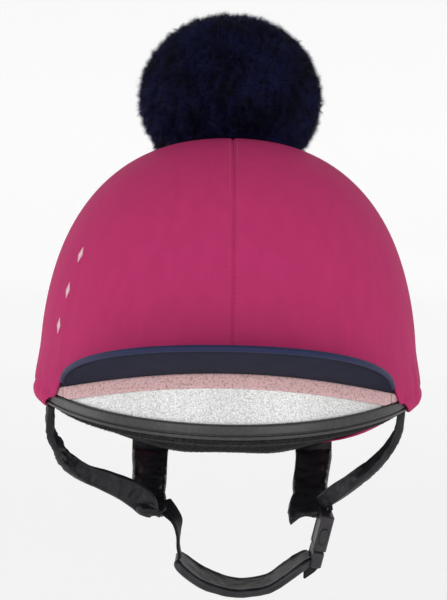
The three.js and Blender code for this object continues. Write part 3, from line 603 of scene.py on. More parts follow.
class Finish:
    """A material in the making, with its main shader"""

    def __init__(self, name, colour, roughness, **sockets):
        self.material = bpy.data.materials.new(name)
        self.material.use_nodes = True
        self.material.diffuse_color = (*colour, 1)
        self.nodes = self.material.node_tree.nodes
        self.links = self.material.node_tree.links
        self.shader = self.nodes["Principled BSDF"]
        self.colour = (*colour, 1)
        self.shader.inputs["Base Color"].default_value = self.colour
        self.shader.inputs["Roughness"].default_value = roughness
        for socket, value in sockets.items():
            self.shader.inputs[socket.replace("_", " ")].default_value = value

    def add(self, kind, feeds=(), **inputs):
        """New node; feeds are (socket of the node, output) pairs"""
        node = self.nodes.new(kind)
        for key, value in inputs.items():
            name = key.replace("_", " ")
            if name in node.inputs:
                node.inputs[name].default_value = value
            else:
                setattr(node, key, value)
        for socket, output in feeds:
            self.links.new(output, node.inputs[socket])
        return node

    def place(self):
        """The piece's own coordinates, in metres"""
        return self.add("ShaderNodeTexCoord").outputs["Object"]

    def cloth(self):
        """The cloth's coordinates along and across its threads, in metres"""
        return self.add("ShaderNodeUVMap", uv_map="Cloth").outputs["UV"]

    def grain(self, size, detail, stretch=(1, 1, 1)):
        """Noise with grains of a size, in metres"""
        spread = self.add("ShaderNodeMapping", [("Vector", self.place())], Scale=stretch)
        return self.add("ShaderNodeTexNoise", [("Vector", spread.outputs["Vector"])],
                        Scale=0.5 / size, Detail=detail).outputs["Fac"]

    def threads(self, pitch, direction="X"):
        """Waves of one thread's width along the cloth, 0 to 1"""
        wave = self.add("ShaderNodeTexWave", [("Vector", self.cloth())], Distortion=0.4,
                        bands_direction=direction, Scale=2 * math.pi / (20 * pitch))
        return wave.outputs["Fac"]

    def product(self, first, second):
        """One output times another"""
        return self.add("ShaderNodeMath", [(0, first), (1, second)],
                        operation="MULTIPLY").outputs["Value"]

    def weave(self, warp, weft):
        """Crossed threads of two pitches"""
        return self.product(self.threads(warp), self.threads(weft, "Y"))

    def shades(self, amount, dark, light, low=0.35, high=0.65):
        """Colours the surface between two multiples of its base colour"""
        ramp = self.add("ShaderNodeValToRGB", [("Fac", amount)])
        for element, place, share in zip(ramp.color_ramp.elements, (low, high), (dark, light)):
            element.position = place
            element.color = (*[min(1, part * share) for part in self.colour[:3]], 1)
        self.links.new(ramp.outputs["Color"], self.shader.inputs["Base Color"])

    def relief(self, *heights):
        """Bumps from (height output, distance in metres) pairs, the coarse ones first"""
        normal = None
        for height, distance in heights:
            feeds = [("Height", height)] + ([("Normal", normal)] if normal else [])
            normal = self.add("ShaderNodeBump", feeds, Distance=distance).outputs["Normal"]
        self.links.new(normal, self.shader.inputs["Normal"])


def silk_finish(colours):
    """Fine stretch satin: close threads, a soft sheen and faint wear"""
    finish = Finish("raspberry_silk", colours.silk, 0.55, Sheen_Weight=0.015,
                    Sheen_Roughness=0.35, Specular_IOR_Level=0.015)
    finish.shader.inputs["Sheen Tint"].default_value = (1, 0.45, 0.62, 1)
    weave = finish.weave(0.42 * MM, 0.42 * MM)
    finish.shades(finish.grain(3 * MM, 6, (1, 1, 0.35)), 0.955, 1.045, 0.3, 0.7)
    finish.relief((finish.grain(14 * MM, 2), 0.25 * MM), (weave, 0.05 * MM))
    return finish.material


def band_finish(colours):
    """Soft knitted pile, flecked"""
    finish = Finish("pink_band", colours.band, 0.95, Sheen_Weight=0.15, Specular_IOR_Level=0.1)
    fleck = finish.grain(0.45 * MM, 4)
    finish.shades(fleck, 0.6, 1.1, 0.34, 0.52)
    finish.relief((finish.grain(2.2 * MM, 2), 0.3 * MM), (fleck, 0.12 * MM))
    return finish.material


def fur_finish(colours):
    """Dense fur: noise in fine strands and broader patches makes it darker and lighter, with a
    faint bluish sheen
    """
    finish = Finish("navy_fur", colours.fur, 0.55, Specular_IOR_Level=0.08,
                    Sheen_Weight=0.03, Sheen_Roughness=0.4)
    finish.shader.inputs["Sheen Tint"].default_value = (0.5, 0.55, 1, 1)
    strands = finish.product(finish.grain(1.6 * MM, 3, (1, 1, 0.45)), finish.grain(13 * MM, 3))
    finish.shades(strands, 0.2, 3.4, 0.17, 0.42)
    return finish.material


def navy_finish(colours):
    """Matt stretch cloth over the peak's board"""
    finish = Finish("navy_cloth", colours.navy, 0.8, Sheen_Weight=0.01, Specular_IOR_Level=0.05)
    weave = finish.weave(0.5 * MM, 0.5 * MM)
    finish.shades(finish.grain(5 * MM, 5), 0.9, 1.1)
    finish.relief((finish.grain(9 * MM, 2), 0.2 * MM), (weave, 0.06 * MM))
    return finish.material


def piping_finish(colours):
    """Satin roll, its threads slanted round it"""
    finish = Finish("navy_piping", colours.piping, 0.5, Specular_IOR_Level=0.12)
    finish.relief((finish.threads(0.5 * MM), 0.08 * MM), (finish.grain(1.5 * MM, 3), 0.08 * MM))
    return finish.material


def silver_finish(colours):
    """Silver glitter under a clear lacquer: each flake has its own grey and tilt"""
    finish = Finish("silver_shell", colours.silver, 0.5, Metallic=0.2, Coat_Weight=0.3,
                    Coat_Roughness=0.3)
    flakes = finish.add("ShaderNodeTexVoronoi", [("Vector", finish.place())],
                        Scale=1 / (0.32 * MM))
    grey = finish.add("ShaderNodeSeparateColor", [("Color", flakes.outputs["Color"])])
    finish.shades(grey.outputs["Red"], 0.55, 1.3, 0.0, 0.75)
    finish.relief((grey.outputs["Green"], 0.05 * MM))
    return finish.material


def rubber_finish(colours):
    """Satin rubber with dust in its pores"""
    finish = Finish("rim_rubber", colours.rubber, 0.4, Specular_IOR_Level=0.35)
    dust = finish.grain(0.9 * MM, 5)
    finish.shades(dust, 0.85, 1.35, 0.45, 0.75)
    finish.relief((finish.grain(6 * MM, 2), 0.15 * MM), (dust, 0.06 * MM))
    return finish.material


def lining_finish(colours):
    """Brushed black cloth"""
    finish = Finish("lining_cloth", colours.lining, 0.95, Sheen_Weight=0.06,
                    Specular_IOR_Level=0.1)
    pile = finish.grain(0.6 * MM, 4)
    finish.shades(pile, 0.6, 1.7, 0.35, 0.7)
    finish.relief((finish.grain(3 * MM, 2), 0.4 * MM), (pile, 0.3 * MM))
    return finish.material


def leather_finish(name, colour, roughness, shine):
    """Soft leather: a fine grain, creases, a slight shine, and a painted highlight on the
    creases' high places with painted shade in their hollows
    """
    finish = Finish(name, colour, roughness, Specular_IOR_Level=shine)
    cells = finish.add("ShaderNodeTexVoronoi", [("Vector", finish.place())],
                       feature="DISTANCE_TO_EDGE", Scale=1 / (0.9 * MM))
    folds = finish.grain(4 * MM, 4, (1, 1, 0.5))
    # Painted light: the colour follows the creases' height, lighter on their ridges (painted
    # highlight) and darker in their hollows (painted shade)
    finish.shades(folds, 0.7, 1.5, 0.35, 0.7)
    finish.relief((folds, 0.7 * MM), (cells.outputs["Distance"], 0.12 * MM))
    return finish.material


def webbing_finish(colours):
    """Ribbed nylon webbing"""
    finish = Finish("black_webbing", colours.webbing, 0.6, Specular_IOR_Level=0.15)
    weave = finish.weave(1.1 * MM, 0.7 * MM)
    finish.shades(weave, 0.7, 1.4, 0.1, 0.8)
    finish.relief((weave, 0.25 * MM))
    return finish.material


def plastic_finish(colours):
    """Moulded plastic with a satin spark-eroded face"""
    finish = Finish("buckle_plastic", colours.plastic, 0.42, Specular_IOR_Level=0.3)
    finish.shades(finish.grain(4 * MM, 3), 0.9, 1.15)
    finish.relief((finish.grain(0.3 * MM, 3), 0.03 * MM))
    return finish.material


def thread_finish(name, colour):
    """Twisted sewing thread"""
    finish = Finish(name, colour, 0.5, Sheen_Weight=0.3)
    twist = finish.grain(0.25 * MM, 2)
    finish.shades(twist, 0.85, 1.1)
    finish.relief((twist, 0.05 * MM))
    return finish.material


def hem_height(turn):
    """Height of the silk's edge: over the peak's root, and beside the peak down to the trim"""
    side = abs(turn)
    corner = smooth((side / PEAK_END - HEM_CORNER_START) / (1 - HEM_CORNER_START))
    edge = root_height(min(side, PEAK_END)) + PEAK_THICKNESS + SILK_GAP
    edge += 2 * PIPING_RADIUS * corner
    return lerp(edge, rim_height(turn) + TRIM_HEIGHT - MM,
                smooth((side - CORNER_START) / (CORNER_TURN - CORNER_START)))


@lru_cache(maxsize=None)
def silk_line(turn):
    """Silk's middle at one turn: its points, their distances and where its hem begins"""
    side = abs(turn)
    flare = SILK_FLARE * smooth((side - SILK_FLARE_START) / (PEAK_END - SILK_FLARE_START))
    rim = rim_height(turn)
    clear = SILK_RIM_GAP + SILK_THICKNESS / 2
    under = rim - clear - SLACK_DROP * bump(turn - SLACK_TURN, SLACK_WIDTH)
    middle = -SILK_THICKNESS / 2
    points = [dome_point(turn, under, SHELL_OUT - SHELL_THICKNESS + PIECE_GAP)]
    for inward, rise in HEM_FOLD:
        points.append(dome_point(turn, under + clear * rise, middle + flare - clear * inward))
    eyelet = (CROWN_EYELET_RADIUS / CROWN_HALF_WIDTH) ** SPREAD_POWER
    top = (CROWN_HEIGHT + middle) * (1 - eyelet) ** (1 / PROFILE_POWER)
    for step in range(SILK_LINE_STEPS + 1):
        lift = math.sin(QUARTER * step / SILK_LINE_STEPS) ** (2 / PROFILE_POWER)
        height = lerp(under + 2 * clear, top, lift)
        swell = flare * (1 - smooth((height - rim - TRIM_HEIGHT) / SILK_FLARE_REACH))
        low = min(height, CROWN_HEIGHT / 2)
        spread = dome_point(turn, low, middle + swell) - dome_point(turn, low, middle)
        points.append(dome_point(turn, height, middle) + spread)
    lengths = distances(points)
    edge = hem_height(turn)
    above = next(index for index, point in enumerate(points)
                 if index > len(HEM_FOLD) and point.z > edge)
    climb = (edge - points[above - 1].z) / (points[above].z - points[above - 1].z)
    hem = lerp(lengths[above - 1], lengths[above], climb)
    folded = clamp((side - FOLD_TURNS[0]) / (FOLD_TURNS[1] - FOLD_TURNS[0]))
    return points, lengths, hem * (1 - folded)


def silk_relief(point, turn, from_hem, seams, sizes):
    """How far the silk stands out at a point, some way along the cloth from its lower fold"""
    side = abs(turn)
    radius = math.hypot(point.x, point.y)
    relief = 0.0
    for seam in seams:
        relief -= sizes.seam_depth * bump(abs(turn - seam) * radius, SEAM_WIDTH)
    whole = smooth((side - PEAK_END) / (CORNER_TURN - PEAK_END))
    lift = smooth(from_hem / HEM_EASE)
    casing = bump(from_hem - CASING_MIDDLE * sizes.casing_height, CASING_WIDTH)
    stitch = bump(from_hem - sizes.casing_height, STITCH_WIDTH)
    relief += whole * lift * (CASING_SWELL * casing - STITCH_DEPTH * stitch)
    gather = bump(side - GATHER_TURN, GATHER_SPREAD) * bump(from_hem, GATHER_HEIGHT)
    wander = GATHER_WANDER * noise.noise(point / GATHER_GRAIN)
    ripple = math.sin(side / GATHER_PITCH + wander)
    relief += sizes.pucker_depth * whole * lift * gather * ripple
    slack = noise.noise(point / SLACK_GRAIN) * smooth((SLACK_TOP - point.z) / SLACK_FADE)
    return relief + SLACK_RELIEF * slack


def silk_point(turn, share, seams, sizes):
    """Point of the silk at a turn and a share of the way from its hem to its top"""
    points, lengths, start = silk_line(turn)
    distance = lerp(start, lengths[-1], share ** ROW_CROWDING)
    point = at_distance(points, lengths, distance)
    from_hem = distance - lengths[len(HEM_FOLD)]
    return point + dome_normal(point) * silk_relief(point, turn, from_hem, seams, sizes)


FRONT_TURNS = [(0, 0), (0.08, 2.5), (0.34, 45), (0.82, 68), (0.93, 87.5), (1, 90)]
BACK_TURNS = [(0, 90), (0.1, 92.5), (0.9, 177.5), (1, 180)]


class CAP_OT_silk(bpy.types.Operator):
    """Sews the four silk panels of the cover"""

    bl_idname = "cap.silk"
    bl_label = "Silk cover"

    def execute(self, context):
        sizes = context.scene.cap_sizes
        finish = silk_finish(context.scene.cap_colours)
        parts = [("front", FRONT_TURNS, 120, 58), ("back", BACK_TURNS, 84, 64)]
        for end, turns, columns, rows in parts:
            for name, sign in (("left", -1), ("right", 1)):
                twist = SEAM_TWIST if end == "front" else 0
                seams = [sign * turns[0][1] * DEGREE + twist, sign * turns[-1][1] * DEGREE]

                def place(across, up):
                    turn = between(turns, across) * DEGREE
                    turn = sign * turn + twist * max(0, 1 - turn / QUARTER)
                    return silk_point(round(turn, 7), up, seams, sizes)

                def lay(across, up):
                    return between(turns, across) * DEGREE * CLOTH_RADIUS, up * CLOTH_RISE

                bm = bent_grid(columns, rows, place, lay)
                bmesh.ops.recalc_face_normals(bm, faces=bm.faces)
                node = f"crown_{end}_{name}"
                panel = settle(f"silk_{end}_{name}", bm, finish, "raspberry_silk", node)
                area = flat_area(panel)
                thicken(panel, SILK_THICKNESS)
        return {"FINISHED"}


class CAP_OT_shell(bpy.types.Operator):
    """Makes the silver skull"""

    bl_idname = "cap.shell"
    bl_label = "Shell"

    def execute(self, context):
        def place(across, up):
            turn = all_round(across)
            if up < 0.5:
                return wall_point(turn, 1 - up / 0.49, SHELL_OUT - SHELL_THICKNESS)
            return wall_point(turn, (up - 0.51) / 0.49, SHELL_OUT)

        bm = close_up(bent_grid(180, 101, place))
        settle("silver_skull", bm, silver_finish(context.scene.cap_colours),
               "silver_shell", "shell")
        return {"FINISHED"}


TRIM_SECTION = [
    (0, 0.98), (0.12, 1.01), (0.55, 1.0), (0.85, 0.95), (0.98, 0.86), (1, 0.7), (1, 0.42),
    (0.9, 0.36), (0.55, 0.335), (0.5, 0.29), (0.6, 0.25), (0.88, 0.235), (0.98, 0.18),
    (0.97, 0.1), (0.85, 0.03), (0.5, 0),
]


class CAP_OT_rim_trim(bpy.types.Operator):
    """Makes the rubber trim round the lower edge, with its groove and bead"""

    bl_idname = "cap.rim_trim"
    bl_label = "Rim trim"

    def execute(self, context):
        outside = SHELL_OUT + PIECE_GAP
        section = [Vector((outside + TRIM_WALL * out, TRIM_HEIGHT * up))
                   for out, up in TRIM_SECTION]
        foot = SHELL_OUT - SHELL_THICKNESS
        section += [Vector((foot, 0)), Vector((foot, TRIM_FLOOR)),
                    Vector((outside, TRIM_FLOOR)), section[0]]
        rows = 96
        ring = evenly(section, rows)

        def place(across, up):
            turn = all_round(across)
            return rim_point(turn, *ring[round(up * rows)])

        bm = close_up(bent_grid(200, rows, place))
        trim = settle("rubber_trim", bm, rubber_finish(context.scene.cap_colours),
                      "rim_rubber", "rim_trim")
        trim.data.set_sharp_from_angle(angle=50 * DEGREE)
        return {"FINISHED"}


def quilting(turn, share):
    """How deep the lining's sewn channels are at a place, 0 to 1"""
    half = QUILT_STEP / 2
    apart = abs((turn + half) % QUILT_STEP - half) * QUILT_RADIUS
    ribs = bump(apart, QUILT_WIDTH) * smooth((share - QUILT_START) / QUILT_EASE)
    return max(ribs, bump((share - QUILT_RING) * QUILT_WALL, QUILT_WIDTH))


class CAP_OT_lining(bpy.types.Operator):
    """Makes the padded lining with its sewn channels and brushed lip"""

    bl_idname = "cap.lining"
    bl_label = "Lining"

    def execute(self, context):
        sizes = context.scene.cap_sizes
        finish = lining_finish(context.scene.cap_colours)
        inside = LINING_OUT - LINING_THICKNESS
        lip = [Vector((inside, TRIM_FLOOR)),
               *[Vector((inside + out, -share * LIP_DROP)) for out, share in LIP_INSIDE],
               *[Vector((LINING_OUT + out, -share * LIP_DROP)) for out, share in LIP_OUTSIDE],
               Vector((LINING_OUT, TRIM_FLOOR))]
        steps = 24
        lip = evenly(lip, steps)
        wall_rows = 48
        rows = 2 * wall_rows + steps

        def place(across, up):
            turn = all_round(across)
            row = round(up * rows)
            if row < wall_rows:
                share = 1 - row / wall_rows
                return wall_point(turn, share, inside + QUILT_DEPTH * quilting(turn, share))
            if row > wall_rows + steps:
                return wall_point(turn, (row - wall_rows - steps) / wall_rows, LINING_OUT)
            return rim_point(turn, *lip[row - wall_rows])

        bm = close_up(bent_grid(220, rows, place))
        padding = settle("padded_lining", bm, finish, "lining_cloth", "lining")

        places = []
        for index in range(PILE_COUNT):
            across, depth = [(index * step) % 1 for step in PILE_STEPS]
            root = rim_point(all_round(across), *lip[int(lerp(0.3, 0.9, depth) * steps)])
            swirl = noise.noise_vector(root * PILE_GRAIN)
            down = (dome_normal(root) * (depth - 0.35) - UP + 0.9 * swirl).normalized()
            long = sizes.pile_length * (0.5 + 0.9 * abs(swirl.x))
            places.append(aimed(root + UP * PILE_SUNK, down.orthogonal(), down,
                                (PILE_WIDTH, PILE_WIDTH, long)))
        settle("lining_pile", copies(hair_shape(), places), finish, "lining_cloth")
        return {"FINISHED"}


BAND_SECTION = [
    (0, 0.1), (0, 0.9), (0.3, 0.99), (0.7, 0.98), (0.93, 0.9), (1, 0.75), (1, 0.25),
    (0.93, 0.1), (0.7, 0.02), (0.3, 0.01), (0, 0.1),
]


def band_foot(turn, top):
    """Height of the hem band's lower edge, under a top"""
    return max(top - HEM_BAND_HEIGHT, rim_height(turn) + TRIM_HEIGHT + PIECE_GAP)


class CAP_OT_hem_band(bpy.types.Operator):
    """Makes the pale band on the cover's front hem, and the tacks at its ends"""

    bl_idname = "cap.hem_band"
    bl_label = "Hem band"

    def execute(self, context):
        sizes = context.scene.cap_sizes
        finish = band_finish(context.scene.cap_colours)
        rows = 40
        ring = evenly([Vector(point) for point in BAND_SECTION], rows)

        def place(across, up):
            turn = HEM_BAND_END * (2 * across - 1)
            top = root_height(turn) - HEM_BAND_GAP
            out, rise = ring[round(up * rows)]
            tack = bump(abs(turn) - TACK_TURN, TACK_WIDTH)
            fuzz = HEM_BAND_FUZZ * noise.noise(Vector((turn * 400, up * 60, 0)))
            thick = HEM_BAND_THICKNESS * (1 - TACK_SQUEEZE * tack) * out
            height = lerp(band_foot(turn, top), top, rise) + HEM_BAND_RISE * out * smooth(rise)
            return dome_point(turn, height, SHELL_OUT + PIECE_GAP + thick + fuzz)

        bm = close_up(bent_grid(170, rows, place))
        settle("pale_hem_band", bm, finish, "pink_band", "hem_band")

        places = []
        for sign in (-1, 1):
            turn = sign * TACK_TURN
            top = root_height(turn) - PIECE_GAP
            low = band_foot(turn, top)
            for step in range(TACK_COUNT):
                height = lerp(low, top, (step + 0.7) / (TACK_COUNT + 0.4))
                point = dome_point(turn, height, SHELL_OUT + TACK_OUT)
                places.append(aimed(point, UP, dome_normal(point),
                                    (TACK_LENGTH, sizes.thread_width, sizes.thread_width)))
        thread = thread_finish("tack_thread", TACK_COLOUR)
        settle("band_tacks", copies(thread_shape(), places), thread, "pink_band")
        return {"FINISHED"}


def peak_root(side):
    """Where the peak's underside meets the shell, for side from -1 to 1 along its root"""
    turn = side * PEAK_END
    return dome_point(turn, root_height(turn), SHELL_OUT + PIECE_GAP)


def piping_point(side):
    """Middle of the piping along the peak's outline"""
    root = peak_root(side)
    tilt = lerp(PEAK_TILT, PEAK_CORNER_TILT, side * side)
    spread = abs(math.sin(side * PEAK_END) / math.sin(PEAK_END))
    fall = max(0.0, 1 - spread ** PEAK_PLAN_POWER) ** PEAK_PLAN_ROUND
    length = lerp(2 * PIPING_RADIUS, PEAK_DEPTH - PIPING_RADIUS, fall)
    rise = length * math.tan(tilt) + PEAK_EDGE_THICKNESS / 2
    return root + Vector((0, -length, rise))


def piping_frames():
    """Piping's stations: the point, the way up and the way inwards to the peak"""
    path = [piping_point(math.sin(QUARTER * (2 * step / PEAK_COLUMNS - 1)))
            for step in range(PEAK_COLUMNS + 1)]
    path = evenly(path, PEAK_COLUMNS)
    frames = []
    for index, point in enumerate(path):
        ahead = path[min(index + 1, PEAK_COLUMNS)] - path[max(index - 1, 0)]
        ahead.normalize()
        up = (UP - ahead * ahead.z).normalized()
        frames.append((point, up, up.cross(ahead)))
    return frames


def peak_side(point):
    """Side of the peak's root that lies straight behind a point of its outline"""
    low, high = -1.0, 1.0
    for _ in range(30):
        middle = (low + high) / 2
        if peak_root(middle).x < point.x:
            low = middle
        else:
            high = middle
    return (low + high) / 2


class CAP_OT_peak(bpy.types.Operator):
    """Makes the navy peak and the piping along its edge"""

    bl_idname = "cap.peak"
    bl_label = "Peak"

    def execute(self, context):
        colours = context.scene.cap_colours
        frames = piping_frames()

        def place(across, up):
            point, _, inward = frames[round(across * PEAK_COLUMNS)]
            root = peak_root(peak_side(point))
            edge = point + inward * (PIPING_RADIUS + PEAK_EDGE_GAP)
            edge.z -= PEAK_EDGE_GAP
            reach = (edge - root).length
            thickness = lerp(PEAK_THICKNESS, PEAK_EDGE_THICKNESS, up)
            sunk = PEAK_SUNK * (1 - up)
            middle = (root + UP * (thickness / 2 - sunk)).lerp(edge, up)
            middle.z -= PEAK_BOW * (reach / PEAK_DEPTH) ** 2 * math.sin(math.pi * up)
            groove = bump((1 - up) * reach - PEAK_GROOVE_INSET, PEAK_GROOVE_WIDTH)
            middle.z += PEAK_GROOVE_DEPTH * groove * smooth(reach / PEAK_GROOVE_EASE)
            return middle

        def lay(across, up):
            return across * 0.2, up * PEAK_DEPTH

        bm = bent_grid(PEAK_COLUMNS, 36, place, lay)
        bmesh.ops.recalc_face_normals(bm, faces=bm.faces)
        peak = settle("navy_peak", bm, navy_finish(colours), "navy_cloth", "peak")
        thicken(peak, PEAK_WALL)

        def round_piping(across, up):
            point, rise, inward = frames[round(across * PEAK_COLUMNS)]
            angle = 2 * math.pi * up
            end = min(across, 1 - across) * PEAK_COLUMNS / 3
            radius = PIPING_RADIUS * math.sqrt(clamp(1 - (1 - min(end, 1)) ** 2, 0.02))
            return point + radius * (inward * math.cos(angle) + rise * math.sin(angle))

        def lay_piping(across, up):
            return across * 0.22 + up * 1.2 * MM, up * 8 * MM

        bm = close_up(bent_grid(PEAK_COLUMNS, 20, round_piping, lay_piping))
        settle("peak_roll", bm, piping_finish(colours), "navy_piping", "peak_piping")
        return {"FINISHED"}


def flattened(direction, share):
    """Direction from the pompom's centre with its height at a share"""
    return Vector((direction.x, direction.y, direction.z * share))


def pompom_coat(sizes, start, reach, length, width):
    """Hairs of one coat: each leans with its neighbours, which gathers them into locks"""
    golden = math.pi * (3 - math.sqrt(5))
    count = sizes.hair_count
    places = []
    for index in range(count):
        level = 1 - 2 * (index + 0.5) / count
        flat = math.sqrt(1 - level * level)
        angle = golden * index + start
        direction = Vector((flat * math.cos(angle), flat * math.sin(angle), level))
        lean = noise.noise_vector(direction * LEAN_GRAIN + Vector((start, 0, 0)))
        lock = noise.noise_vector(direction * LOCK_GRAIN + Vector((0, 0, start)))
        wisp = noise.noise_vector(direction * WISP_GRAIN)
        tuft = noise.noise(direction * TUFT_GRAIN + Vector((0, start, 0)))
        normal = flattened(direction, 1 / POMPOM_FLATTEN).normalized()
        lean = LEAN_SHARE * lean + LOCK_SHARE * lock + WISP_SHARE * wisp - DROOP * UP
        lean -= normal * lean.dot(normal)
        way = (normal + lean * (LEAN_LIMIT / max(LEAN_LIMIT, lean.length))).normalized()
        tip = reach * (1 + 0.055 * tuft + 0.04 * wisp.x)
        end = POMPOM_CENTRE + flattened(direction, POMPOM_FLATTEN) * tip
        if end.z < dome_height(end.x, end.y, 0) + TIP_CLEAR:
            continue
        root = end - way * length * (0.85 + 0.5 * abs(wisp.y))
        root.z = max(root.z, dome_height(root.x, root.y, 0) + ROOT_CLEAR)
        way = end - root
        places.append(aimed(root, way.orthogonal(), way, (width, width, way.length)))
    return copies(hair_shape(), places)


class CAP_OT_pompom(bpy.types.Operator):
    """Makes the fur pompom: a ball of felted roots under two coats of hair"""

    bl_idname = "cap.pompom"
    bl_label = "Pompom"

    def execute(self, context):
        sizes = context.scene.cap_sizes
        finish = fur_finish(context.scene.cap_colours)
        bm = bmesh.new()
        bmesh.ops.create_icosphere(bm, subdivisions=6, radius=1)
        for vert in bm.verts:
            radius = POMPOM_RADIUS * (0.9 + 0.03 * noise.noise(vert.co * TUFT_GRAIN))
            point = POMPOM_CENTRE + radius * flattened(vert.co, POMPOM_FLATTEN)
            point.z = max(point.z, dome_height(point.x, point.y, 0) + 0.5 * MM)
            vert.co = point
        bmesh.ops.recalc_face_normals(bm, faces=bm.faces)
        settle("pompom_roots", bm, finish, "navy_fur", "pompom")
        for name, *shares in (("under", 0.0, 0.965, 0.75, 1.5), ("top", 1.0, 0.995, 1, 1)):
            start, reach, length, width = shares
            coat = pompom_coat(sizes, start, reach * POMPOM_RADIUS, length * sizes.hair_length,
                               width * sizes.hair_width)
            settle(f"pompom_{name}coat", coat, finish, "navy_fur")
        return {"FINISHED"}


def strap_point(row):
    return Vector((CROWN_HALF_WIDTH * row.across, CROWN_HALF_LENGTH * row.along,
                   -CHIN_DROP * row.down))


def hung(rows, width):
    """Stations with the first just below the lining's lip"""
    first = rows[0]
    turn = math.atan2(first.across, -first.along)
    slope = abs(rim_height(turn + DEGREE) - rim_height(turn - DEGREE))
    reach = width / 2 * slope / (2 * DEGREE * CROWN_HALF_WIDTH)
    lip = rim_height(turn) - LIP_DROP
    down = -(lip - PIECE_GAP - reach - STRAP_THICKNESS / 2) / CHIN_DROP
    return [first._replace(down=down), *rows[1:]]


def stations(rows, steps):
    """Stations on one smooth line through the given ones"""
    made = []
    for index in range(len(rows) - 1):
        before = rows[max(index - 1, 0)]
        first, last = rows[index], rows[index + 1]
        after = rows[min(index + 2, len(rows) - 1)]
        for step in range(steps + (index == len(rows) - 2)):
            share = step / steps
            made.append(Station(*[
                0.5 * (2 * b + (c - a) * share + (2 * a - 5 * b + 4 * c - d) * share ** 2
                       + (3 * b - a - 3 * c + d) * share ** 3)
                for a, b, c, d in zip(before, first, last, after)]))
    return made


def strap_frames(line, path):
    """Ways along a strap's width and out of its face, at each of its stations"""
    last = len(line) - 1
    frames = []
    for index, row in enumerate(line):
        ahead = (path[min(index + 1, last)] - path[max(index - 1, 0)]).normalized()
        level = math.cos(row.lean * DEGREE)
        aim = Vector((level * math.cos(row.turn * DEGREE), level * math.sin(row.turn * DEGREE),
                      math.sin(row.lean * DEGREE)))
        across = (aim - ahead * aim.dot(ahead)).normalized()
        frames.append((across, ahead.cross(across)))
    return frames


def squared(value, squareness):
    """Cosine or sine pushed out from a circle to a square with rounded corners"""
    return math.copysign(abs(value) ** (2 / squareness), value)


def folds(point, grain, seed):
    """Height of leather's folds and wrinkles at a point, as a share of their depth"""
    at = point / grain + seed
    fold = 1 - 2 * abs(noise.noise(at + 0.6 * noise.noise_vector(at * 0.5)))
    return fold - 0.6 + 0.3 * noise.noise(point / (0.4 * grain) + seed)


def strap(name, rows, width, thickness, edge_roll=0.0, crease=0.0, grain=7 * MM, squareness=4,
          steps=12, ends=5, trail=0.0, hangs=False, blunt=(False, False)):
    """bmesh of a strap through its stations. edge_roll thickens its two edges, crease is the
    depth of its creases, trail how far one edge ends past the other, a strap that hangs starts
    along the lining's lip, and blunt says whether its start and its end are cut square."""
    line = stations(rows, steps)
    path = [strap_point(row) for row in line]
    last = len(line) - 1
    frames = strap_frames(line, path)
    length = distances(path)[-1]
    seed = Vector((len(name) * 3.7, ord(name[0]), ord(name[-1])))

    def place(along, around):
        index = round(along * last)
        row, (across, face) = line[index], frames[index]
        angle = 2 * math.pi * around
        side = squared(math.cos(angle), squareness)
        depth = squared(math.sin(angle), squareness)
        from_start = ends if blunt[0] else index
        from_end = ends if blunt[1] else last - index
        end = min(from_start, from_end) / ends
        close = math.sqrt(clamp(1 - (1 - min(end, 1)) ** 2))
        edges = bump(abs(side) - EDGE_ROLL_PLACE, EDGE_ROLL_WIDTH)
        roll = 1 + edge_roll * (edges - 0.4 * bump(side, 0.7))
        half_width = width * row.wide / 2 * lerp(0.8, 1, close)
        half_depth = thickness * row.thick / 2 * close * roll
        point = path[index] + across * half_width * side + face * half_depth * depth
        if crease:
            point += face * depth * close * crease * folds(point, grain, seed)
        point.z += trail * side * (index / last) ** 2
        if hangs and index <= ends:
            turn = math.atan2(point.x / CROWN_HALF_WIDTH, -point.y / CROWN_HALF_LENGTH)
            reach = math.hypot(point.x / CROWN_HALF_WIDTH, point.y / CROWN_HALF_LENGTH)
            outside = smooth(((reach - 1) * CROWN_HALF_WIDTH - LINING_OUT) / MM)
            lip = rim_height(turn) - lerp(LIP_DROP, HEM_UNDERSIDE, outside) - 0.15 * MM
            point.z = lerp(lip, point.z, index / ends)
        return point

    def lay(along, around):
        return along * length, around * 2 * width

    return close_up(bent_grid(last, STRAP_SIDES, place, lay))


class CAP_OT_straps(bpy.types.Operator):
    """Makes the two front and two rear leather straps"""

    bl_idname = "cap.straps"
    bl_label = "Harness straps"

    def execute(self, context):
        sizes = context.scene.cap_sizes
        finish = leather_finish("black_leather", context.scene.cap_colours.leather, 0.36, 0.16)
        fronts = [("left", FRONT_STRAP_LEFT, 1.2), ("right", FRONT_STRAP_RIGHT, 0.7)]
        for side, rows, deep in fronts:
            bm = strap(f"front_{side}", hung(rows, FRONT_STRAP_WIDTH), FRONT_STRAP_WIDTH,
                       STRAP_THICKNESS, 0.25, deep * sizes.crease_depth, 5 * MM, 3,
                       hangs=True, blunt=(True, False))
            settle(f"leather_front_{side}", bm, finish, "black_leather", f"front_strap_{side}")
        for side, rows in (("left", REAR_STRAP_LEFT), ("right", REAR_STRAP_RIGHT)):
            bm = strap(f"rear_{side}", hung(rows, REAR_STRAP_WIDTH), REAR_STRAP_WIDTH,
                       STRAP_THICKNESS, 0.45, 1.1 * sizes.crease_depth, 9 * MM, hangs=True,
                       blunt=(True, True))
            settle(f"leather_rear_{side}", bm, finish, "black_leather", f"rear_strap_{side}")
        for side, rows, trail in (("left", GUSSET_LEFT, 0), ("right", GUSSET_RIGHT, 9 * MM)):
            bm = strap(f"gusset_{side}", rows, GUSSET_WIDTH, GUSSET_THICKNESS, 0.3,
                       1.2 * sizes.crease_depth, 8 * MM, 3, trail=trail,
                       blunt=(True, False))
            gusset = settle(f"leather_gusset_{side}", bm, finish, "black_leather",
                            f"junction_{side}")
        return {"FINISHED"}


